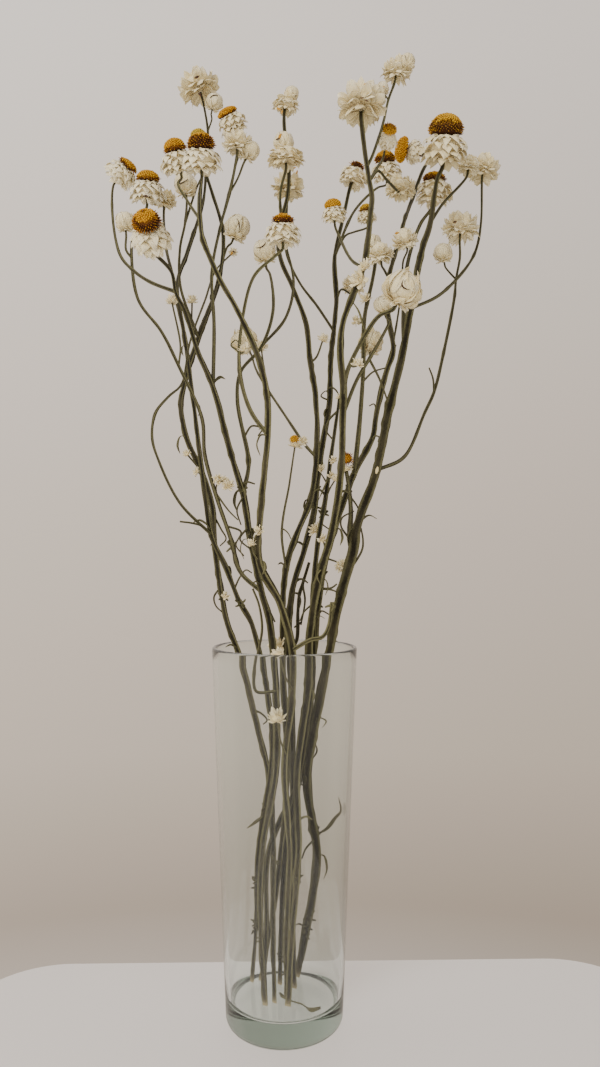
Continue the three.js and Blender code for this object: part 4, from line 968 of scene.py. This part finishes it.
def add_disc(shell, name, radius, rise, place, turn, rng):
    """A dome packed with florets along a spiral; the lower ones are withered and stand out."""
    golden, dark, green = DISCS[name]
    profile = np.array(DISC_PROFILE) * (radius, radius * rise)
    dome = profile[:0:-1] * DOME
    heights = np.repeat(dome[:, 1] / dome[:, 1].max(), DOME_SIDES)
    age = np.clip((golden - (1 - heights)) * -3 + 0.5, 0, 1) * 0.6 + 0.4
    rounds = turned_rings(dome, DOME_SIDES)
    shell.add(rounds @ turn.T + place, tube(len(dome), DOME_SIDES), age=age, green=green)
    distance = lengths(profile)
    area = np.concatenate([[0], np.cumsum(np.diff(distance) * (profile[1:, 0] + profile[:-1, 0]))])
    spacing = 1.12 + 0.02 * radius
    count = int(area[-2] * math.pi / spacing ** 2)

    def at_distance(d):
        return np.array([np.interp(d, distance, profile[:, k]) for k in (0, 1)])

    for i in range(count):
        part = (i + 0.5) / count * area[-2]
        at = np.interp(part, area, distance)
        r, h = at_distance(at)
        ahead = at_distance(at + 0.3) - at_distance(at - 0.3)
        theta = i * GOLDEN_ANGLE
        radial = np.array([math.cos(theta), math.sin(theta), 0])
        normal = np.cross(np.cross(UP, radial), unit(radial * ahead[0] + UP * ahead[1]))
        normal = normal if normal @ (radial * 0.5 + UP * 0.5) > 0 else -normal
        share = part / area[-2]
        ripe = share > golden + rng.uniform(-0.1, 0.1) or share < dark
        points = floret(radial * r + UP * h, normal, radial, spacing, share, ripe, rng)
        age = (0.84 if ripe else 0.14) + rng.uniform(-0.34 if ripe else -0.12, 0.16)
        fade = rng.uniform(0.1, 0.5) if ripe else -0.15
        ages = np.clip(np.repeat([age + 0.15, age, age - fade], FLORET_SIDES), 0, 1)
        shell.add(points @ turn.T + place, tube(3, FLORET_SIDES), age=ages, green=green)


# Materials


class Graph:
    """The nodes of a material or of the world."""

    def __init__(self, owner):
        owner.use_nodes = True
        self.nodes, self.links = owner.node_tree.nodes, owner.node_tree.links

    def feed(self, value, socket):
        """A number or colour goes on the socket itself, anything else is linked to it."""
        if isinstance(value, (int, float)):
            socket.default_value = value
        elif isinstance(value, tuple):
            socket.default_value = (*value, 1)
        else:
            self.links.new(value, socket)

    def coordinate(self, kind="Object"):
        return self.nodes.new("ShaderNodeTexCoord").outputs[kind]

    def split(self, vector):
        node = self.nodes.new("ShaderNodeSeparateXYZ")
        self.links.new(vector, node.inputs[0])
        return node.outputs

    def attribute(self, name):
        node = self.nodes.new("ShaderNodeAttribute")
        node.attribute_name = name
        return node.outputs["Fac"]

    def math(self, operation, a, b):
        node = self.nodes.new("ShaderNodeMath")
        node.operation = operation
        self.feed(a, node.inputs[0])
        self.feed(b, node.inputs[1])
        return node.outputs[0]

    def span(self, value, low, high):
        """The value stretched so that low to high is 0 to 1."""
        node = self.nodes.new("ShaderNodeMapRange")
        node.inputs["From Min"].default_value = low
        node.inputs["From Max"].default_value = high
        self.links.new(value, node.inputs["Value"])
        return node.outputs["Result"]

    def ramp(self, value, *stops):
        """The colour of a value between stops: (value, colour)."""
        node = self.nodes.new("ShaderNodeValToRGB")
        elements = node.color_ramp.elements
        while len(elements) < len(stops):
            elements.new(0.5)
        for element, (position, colour) in zip(elements, stops):
            element.position = position
            element.color = (*colour, 1)
        self.links.new(value, node.inputs[0])
        return node.outputs[0]

    def noise(self, scale, detail, vector=None):
        node = self.nodes.new("ShaderNodeTexNoise")
        node.inputs["Scale"].default_value = scale
        node.inputs["Detail"].default_value = detail
        self.links.new(vector or self.coordinate(), node.inputs["Vector"])
        return node.outputs["Fac"]

    def mix(self, factor, a, b, blend="MIX"):
        node = self.nodes.new("ShaderNodeMix")
        node.data_type = "RGBA"
        node.blend_type = blend
        for value, socket in ((factor, 0), (a, 6), (b, 7)):
            self.feed(value, node.inputs[socket])
        return node.outputs[2]


class Look(Graph):
    """A material: its shader's own values, and what feeds them."""

    def __init__(self, name, **values):
        self.material = bpy.data.materials.new(name)
        super().__init__(self.material)
        self.shader = self.nodes["Principled BSDF"]
        for socket, value in values.items():
            self.feed(value, self.shader.inputs[socket.replace("_", " ")])

    def colour(self, value):
        self.links.new(value, self.shader.inputs["Base Color"])

    def bump(self, height, strength, distance):
        node = self.nodes.new("ShaderNodeBump")
        node.inputs["Strength"].default_value = strength
        node.inputs["Distance"].default_value = distance
        self.links.new(height, node.inputs["Height"])
        self.links.new(node.outputs["Normal"], self.shader.inputs["Normal"])


def stem_material(name, lightness):
    """Dry ridged stalk: painted shade near black in the grooves, wings lighter partly with painted light,
    browner in patches.
    """
    look = Look(name, Roughness=0.62, Specular_IOR_Level=0.3)
    dark, light, brown = (tuple(lightness * c for c in colour) for colour in BARK)
    ridge = look.attribute("ridge")
    patches = look.noise(55, 4)
    streak = look.noise(420, 2)
    shade = look.math("SUBTRACT", look.math("ADD", ridge, look.math("MULTIPLY", streak, 0.5)), 0.32)
    half_light = tuple(0.5 * (a + b) for a, b in zip(dark, light))
    # Painted shade: near black in the grooves; painted light in part: lighter on the wings
    body = look.ramp(shade, (0.0, dark), (0.42, half_light), (1.0, light))
    weathered = look.math("MULTIPLY", look.span(patches, 0.45, 0.75), 0.7)
    colour = look.mix(weathered, body, brown)
    look.colour(look.mix(look.attribute("end"), colour, (0.42, 0.36, 0.2)))
    look.bump(streak, 0.5, 0.0003)
    return look.material


def bract_material():
    """Papery ivory: khaki at the foot of each bract, white towards its tip, with fine ribs along it."""
    look = Look("bract_paper", Roughness=0.5, Specular_IOR_Level=0.35, Subsurface_Weight=0.12,
                Subsurface_Scale=0.001, Sheen_Weight=0.15)
    look.shader.inputs["Subsurface Radius"].default_value = (1.0, 0.8, 0.5)
    tip, across, tone = (look.attribute(name) for name in ("tip", "across", "tone"))
    along = look.math("ADD", look.math("MULTIPLY", tip, 0.62), 0.28)
    along = look.math("SUBTRACT", along, look.math("MULTIPLY", tone, 0.5))
    # The near-black first stops give the dark tone: painted shade in slits and inside heads
    paper = look.ramp(
        look.span(along, -1.0, 1.0),
        (0.0, (0.05, 0.022, 0.010)), (0.06, (0.05, 0.022, 0.010)), (0.10, (0.50, 0.25, 0.03)),
        (0.16, (0.56, 0.30, 0.05)), (0.21, (0.66, 0.53, 0.26)), (0.45, (0.77, 0.66, 0.39)),
        (0.60, (0.82, 0.73, 0.48)), (0.78, (0.87, 0.80, 0.60)), (0.95, (0.94, 0.90, 0.79)))
    combine = look.nodes.new("ShaderNodeCombineXYZ")
    for value, scale, socket in ((across, 5.0, 0), (tip, 0.9, 1), (tone, 37.0, 2)):
        look.feed(look.math("MULTIPLY", value, scale), combine.inputs[socket])
    ribs = look.noise(2.4, 3, combine.outputs[0])
    faint = look.ramp(ribs, (0.3, (0.86, 0.82, 0.72)), (0.62, (1.0, 1.0, 1.0)))
    look.colour(look.mix(1.0, paper, faint, "MULTIPLY"))
    look.bump(ribs, 0.35, 0.0004)
    return look.material


def disc_material():
    """Florets from fresh gold to withered brown, greener where they haven't opened."""
    look = Look("disc_florets", Roughness=0.7, Specular_IOR_Level=0.25)
    age = look.attribute("age")
    aged = look.ramp(
        age, (0.0, (0.66, 0.38, 0.016)), (0.28, (0.50, 0.24, 0.010)), (0.55, (0.27, 0.105, 0.012)),
        (0.8, (0.13, 0.045, 0.012)), (1.0, (0.05, 0.017, 0.007)))
    unripe = look.math("MULTIPLY", look.attribute("green"), look.math("SUBTRACT", 1.0, age))
    fresh = look.mix(unripe, aged, (0.50, 0.44, 0.06))
    look.colour(look.mix(0.4, fresh, look.noise(1400, 1), "OVERLAY"))
    return look.material


def glass_material():
    """Clear glass that looks faintly green where it is thick, with a faint diffuse haze that is painted
    reflection.
    """
    look = Look("clear_glass", Base_Color=(0.972, 0.99, 0.978), Transmission_Weight=0.99, Roughness=0.0,
                IOR=1.5)
    absorb = look.nodes.new("ShaderNodeVolumeAbsorption")
    absorb.inputs["Color"].default_value = (0.28, 0.40, 0.32, 1)
    absorb.inputs["Density"].default_value = 23.0
    look.links.new(absorb.outputs[0], look.nodes["Material Output"].inputs["Volume"])
    return look.material


# The vase


def arc(cx, cz, radius, start, end, steps):
    """Points of a round corner, with its angles in degrees."""
    angles = [math.radians(start + (end - start) * i / steps) for i in range(steps + 1)]
    return [(cx + radius * math.cos(a), cz + radius * math.sin(a)) for a in angles]


def vase():
    """The glass, turned from one outline: underside, outer wall, rim, inner wall and floor."""
    lean = (RIM_RADIUS - BASE_RADIUS) / VASE_HEIGHT
    lip = WALL / 2
    corner = FLOOR_THICKNESS + INNER_ROUNDING

    def outer(z):
        return BASE_RADIUS + lean * z

    def inner(z):
        return inside + (RIM_RADIUS - WALL - inside) * (z - corner) / (VASE_HEIGHT - lip - corner)

    inside = outer(FLOOR_THICKNESS) - WALL
    profile = [
        (0.01, 0), (20, 0), (outer(FOOT_ROUNDING) - FOOT_ROUNDING - 2, 0),
        *arc(outer(FOOT_ROUNDING) - FOOT_ROUNDING, FOOT_ROUNDING, FOOT_ROUNDING, -90, 0, 10),
        *[(outer(z), z) for z in np.linspace(FOOT_ROUNDING + 12, VASE_HEIGHT - 8, 12)],
        *arc(RIM_RADIUS - lip, VASE_HEIGHT - lip, lip, 0, 180, 10),
        *[(inner(z), z) for z in np.linspace(VASE_HEIGHT - 10, corner + 12, 12)],
        *arc(inside - INNER_ROUNDING, corner, INNER_ROUNDING, 0, -90, 8),
        (inside - INNER_ROUNDING - 2, FLOOR_THICKNESS), (18, FLOOR_THICKNESS), (0.01, FLOOR_THICKNESS),
    ]
    shell = Shell()
    shell.add(turned_rings(profile, VASE_SIDES), tube(len(profile), VASE_SIDES))
    piece = shell.build("vase_glass", glass_material(), "glass", "vase")
    # Lamps and bounced light reach the table and the stalks as they do through real clear glass
    piece.visible_shadow = False
    piece.visible_diffuse = False


# The stage

TABLE_LEFT, TABLE_RIGHT = -222, 262
TABLE_BACK, TABLE_FRONT = 82, -620
TABLE_CORNER = 62
TABLE_LEAN = math.radians(1.3)
TABLE_TOP, TABLE_THICK = -0.1, 18


def table():
    """A pale table top with round corners. Its back edge runs close behind the vase."""
    left, right = TABLE_LEFT + TABLE_CORNER, TABLE_RIGHT - TABLE_CORNER
    back, front = TABLE_BACK - TABLE_CORNER, TABLE_FRONT + TABLE_CORNER
    outline = [*arc(right, back, TABLE_CORNER, 0, 90, 16), *arc(left, back, TABLE_CORNER, 90, 180, 16),
               *arc(left, front, TABLE_CORNER, 180, 270, 16), *arc(right, front, TABLE_CORNER, 270, 360, 16)]
    c, s = math.cos(TABLE_LEAN), math.sin(TABLE_LEAN)
    points = [((x * c - y * s) * MM, (x * s + y * c) * MM, z * MM)
              for z in (TABLE_TOP, TABLE_TOP - TABLE_THICK) for x, y in outline]
    count = len(outline)
    faces = [list(range(count)), list(range(2 * count - 1, count - 1, -1))]
    faces += [[i, i + count, (i + 1) % count + count, (i + 1) % count] for i in range(count)]
    mesh = bpy.data.meshes.new("table")
    mesh.from_pydata(points, [], faces)
    look = Look("table_white", Roughness=0.55)
    # Painted shade: the part that only the glass mirrors is darker
    forward = look.span(look.split(look.coordinate())[1], -0.62, -0.06)
    look.colour(look.ramp(forward, (0.0, (0.36, 0.345, 0.33)), (0.92, (0.78, 0.75, 0.73))))
    mesh.materials.append(look.material)
    piece = show("table", mesh)
    # Its front edge would lie as a hard line across the glass
    piece.visible_glossy = False


# The bunch

BRACT = bract_material()
FLORET = disc_material()
PAPER_VALUES = ("tip", "across", "tone")
BARK_VALUES = ("ridge", "height", "end")
FLORET_VALUES = ("age", "green")


def head(bloom, tip, seed, stem_name, shell_on_stem):
    """One head on its stalk's tip: bracts, and a disc where it has one."""
    rng = random.Random(seed * HEAD_SEEDS)
    axis, radius, kind = unit(bloom["axis"]), bloom["radius"], bloom["kind"]
    fused = bloom.get("fused")
    turn = turn_to(axis)
    place = np.array(tip, float) + axis * (-SINK if fused else GAP)
    shell = shell_on_stem if fused else Shell(*PAPER_VALUES)
    name = bloom.get("name", f"{stem_name}_{round(radius * 10)}")
    golden = GOLDEN.get(name, KIND_GOLDEN[kind])
    if name in OPENING:
        add_layers(shell, BRACTS["spread"], 0.96 * radius, place, turn, rng, golden)
        add_core(shell, radius, OPENING_CORE, place, turn, 0.3)
    elif kind == "ball":
        add_ball(shell, radius, place, turn, rng, SLITS.get(name), name in FLUFFY, CLOSED_LIFT)
    else:
        reach = SHRUNK.get(name, 1) * radius
        outer, inner, look = SKIRT_LOOK if kind == "skirt" else OPEN_LOOK
        add_layers(shell, BRACTS[kind][:OUTER_LAYERS], reach, place, turn, rng, golden, outer,
                   under=UNDER.get(name, 0.25), **look)
        add_layers(shell, BRACTS[kind][OUTER_LAYERS:], reach, place, turn, rng, golden, inner, **look)
        add_core(shell, radius, OPEN_CORE, place, turn, 0.3)
    if name in CROWNED:
        share, off = CROWNED[name]
        foot = place + np.array(off) * radius - UP * share * radius * BALL_HEIGHT
        add_ball(shell, share * radius, foot, np.eye(3), rng, SLITS.get(name))
    if kind == "capped":
        cap, off, foot = (share * radius for share in CAPS[name])
        add_ball(shell, cap, place + axis * foot + (off, 0, 0), turn, rng, SLITS.get(name))
    if fused:
        return
    shell.build(f"bloom_{name}_bracts", BRACT, "bract", f"bloom_{name}")
    if "disc" in bloom:
        joined = bloom.get("joined")
        height = SKIRT_CROWN * radius + (-GAP if joined else GAP)
        florets = Shell(*FLORET_VALUES)
        add_disc(florets, name, bloom["disc"], bloom["rise"], place + axis * height, turn, rng)
        florets.build(f"disc_{name}_florets", FLORET, "disc", *([] if joined else [f"disc_{name}"]))


def bud(radius, tip, direction, rng, shell, florets):
    """A small head on a twig's tip. Two have opened and show a small disc."""
    turn = turn_to(direction)
    place = tip - unit(direction) * SINK
    disc = BUD_DISCS.get(tuple(tip))
    layers = BRACTS["bud"][:2] if disc else BRACTS["bud"]
    add_layers(shell, layers, radius, place, turn, rng, 0.45)
    add_core(shell, radius, BUD_CORE, place, turn)
    if disc:
        name, wide, rise, faces, lift = disc
        add_disc(florets, name, wide, rise, place + UP * lift + unit(faces) * 1.5, turn_to(faces), rng)


def grow(stems):
    """Every stem's stalk, heads and lines, and the florets of the buds' discs."""
    seed = SEED
    stalks, heads, lines = {}, {}, []
    florets = Shell(*FLORET_VALUES)
    for name, stem in stems.items():
        draw = draws(seed)
        bark = stalks[name] = Shell(*BARK_VALUES)
        heads[name] = Shell(*PAPER_VALUES)
        for piece in [stem, *stem["twigs"]]:
            route = [np.array(p, float) for p in piece["route"]]
            tip = route[-1]
            top = piece.get("bloom")
            if top and top.get("name") not in NECKLESS:
                route.insert(-1, tip - unit(top["axis"]) * NECK)
            rng = random.Random(seed * STALK_SEEDS)
            line = add_stalk(bark, route, piece["thick"], piece["thin"], piece is stem, rng)
            lines.append((name, line))
            seed += 1
            if top:
                head(top, tip, seed, name, heads[name])
            if "bud" in piece:
                bud(piece["bud"], tip, tip - route[-2], rng, heads[name], florets)
        for step, degrees, length in stem["leaves"]:
            line = leaf_line(stem["route"][step], degrees, length, draw)
            add_leaf(bark, line, LEAF_WIDTH, rng, LEAF_TAPER)
    return stalks, heads, lines, florets


def wither(stalks, heads, lines, rng):
    """What has dried on the stems: curls, shreds, knots, a fallen leaf and small pale heads."""
    for radius, points in CURLS:
        name, root = nearest(lines, points[0])
        depth = root[1] - 1.2
        route = [root] + [seen(p, depth - rng.uniform(0, 2.5)) for p in points[1:]]
        add_tendril(stalks[name], route, radius, 0.6 * radius, rng)
    for width, points in SHREDS:
        name, root = nearest(lines, points[0])
        route = [root] + [seen(p, root[1] - rng.uniform(1, 3.5)) for p in points[1:]]
        add_leaf(stalks[name], smooth_line(route, 1.2), width, rng, SHRED_TAPER)
    for point, count, length in KNOTS:
        name, root = nearest(lines, point)
        for _ in range(count):
            way = unit([rng.uniform(-1, 1), rng.uniform(-1, 0.3), rng.uniform(-0.8, 1)])
            aside = unit(way + [rng.uniform(-0.7, 0.7) for _ in range(3)])
            reach = 2.0 + length * rng.uniform(0.4, 0.9)
            route = [root, root + way * reach * 0.6, root + way * reach * 0.7 + aside * reach * 0.3]
            add_tendril(stalks[name], route, *STUB_RADII, rng)
    route = [seen_at_height(point, FALLEN_HEIGHT + 0.6 * math.sin(2.2 * i)) for i, point in enumerate(FALLEN)]
    add_leaf(stalks["stem_4"], smooth_line(route, 2), FALLEN_WIDTH, rng, FALLEN_TAPER)
    for point, radius in TUFTS:
        name, root = nearest(lines, point)
        place = seen(point, root[1] - 2)
        way = unit([rng.uniform(-0.7, 0.7), rng.uniform(-0.9, 0.1), rng.uniform(0.2, 1)])
        turn = turn_to(way)
        add_tendril(stalks[name], [root, (root + place) / 2 - way, place], *TUFT_STALK_RADII, rng)
        add_layers(heads[name], BRACTS["tuft"], radius, place, turn, rng, 0.55, tousle=1.6)
        add_core(heads[name], radius, TUFT_CORE, place, turn, 0.5)


def fleck(rng):
    """Withered bits on the heads, and dark bits of painted shade in them."""
    flecks = Shell(*PAPER_VALUES)
    for point, depth, length, degrees, tone in FLECKS:
        way = np.array([math.cos(math.radians(degrees)), 0, math.sin(math.radians(degrees))])
        middle = seen(point, depth)
        line = bend(middle - way * length / 2, middle - (0, 0.6, 0), middle + way * length / 2, BRACT_SHARE)
        half = FLECK_WIDTH * length * POINTED
        add_bract(flecks, line, np.cross(way, (0, 1, 0)), half, 0.4, rng.uniform(-0.5, 0.5), TONES[tone], rng)
    flecks.values["tip"] = [FLECK_TIP * tip for tip in flecks.values["tip"]]
    flecks.build("withered_and_painted_shade_flecks", BRACT, "bract")


table()
vase()
stalks, heads, lines, florets = grow(STEMS)
rng = random.Random(SEED)
wither(stalks, heads, lines, rng)
fleck(rng)
florets.build("bud_florets", FLORET, "disc")
for name, bark in stalks.items():
    bark.build(f"{name}_stalk", stem_material(f"{name}_bark", STEM_LIGHT[name]), "stem", name)
    heads[name].build(f"{name}_buds", BRACT, "bract")

# Light and camera


def area_light(name, place, target, size, watts, colour):
    """A round lamp that shines at a target and isn't seen in the glass."""
    data = bpy.data.lights.new(name, "AREA")
    data.shape = "DISK"
    data.size = size
    data.energy = watts
    data.color = colour
    lamp = show(name, data)
    lamp.location = place
    lamp.visible_glossy = False
    lamp.visible_transmission = False
    direction = unit(np.array(target, float) - np.array(lamp.location))
    lamp.rotation_mode = "QUATERNION"
    lamp.rotation_quaternion = Vector(direction).to_track_quat("-Z", "Y")


area_light("key", (-1.1, -1.5, 1.5), (0, 0, 0.4), 1.4, 38, (1.0, 0.965, 0.92))
area_light("fill", (1.3, -1.5, 0.6), (0, 0, 0.45), 1.4, 7, (1.0, 0.96, 0.91))
area_light("bounce", (-0.2, -1.3, -0.1), (0, 0, 0.5), 1.6, 20, (1.0, 0.95, 0.88))


def grey(level):
    return (level, level, level)


def wall():
    """A plain wall all round: by height, lighter on the left and darker behind the camera."""
    world = bpy.data.worlds.new("studio")
    bpy.context.scene.world = world
    studio = Graph(world)
    right, back, up = studio.split(studio.coordinate("Generated"))
    by_height = studio.ramp(
        studio.span(up, -1.0, 1.0), (0.0, (0.80, 0.74, 0.66)), (0.26, (0.66, 0.58, 0.50)),
        (0.31, (0.53, 0.43, 0.34)), (0.386, (0.74, 0.62, 0.50)), (0.525, (0.88, 0.75, 0.63)),
        (0.76, (1.13, 1.02, 0.92)), (1.0, (1.2, 1.1, 1.0)))
    by_side = studio.ramp(
        studio.span(right, -1.0, 1.0), (0.0, grey(1.2)), (0.37, grey(1.03)), (0.63, (0.88, 0.87, 0.86)),
        (1.0, grey(0.7)))
    room = studio.ramp(
        studio.span(back, -1.0, 1.0), (0.0, grey(0.42)), (0.4, grey(0.5)), (0.56, grey(1.0)))
    light = studio.mix(1.0, studio.mix(1.0, by_height, by_side, "MULTIPLY"), room, "MULTIPLY")
    studio.links.new(light, studio.nodes["Background"].inputs["Color"])


wall()

camera = bpy.data.cameras.new("camera")
camera.lens = LENS
camera.sensor_width = 36
camera_object = show("camera", camera)
camera_object.location = [c * MM for c in EYE]
camera_object.rotation_euler = (math.radians(90) + EYE_TILT, 0, 0)
bpy.context.scene.camera = camera_object
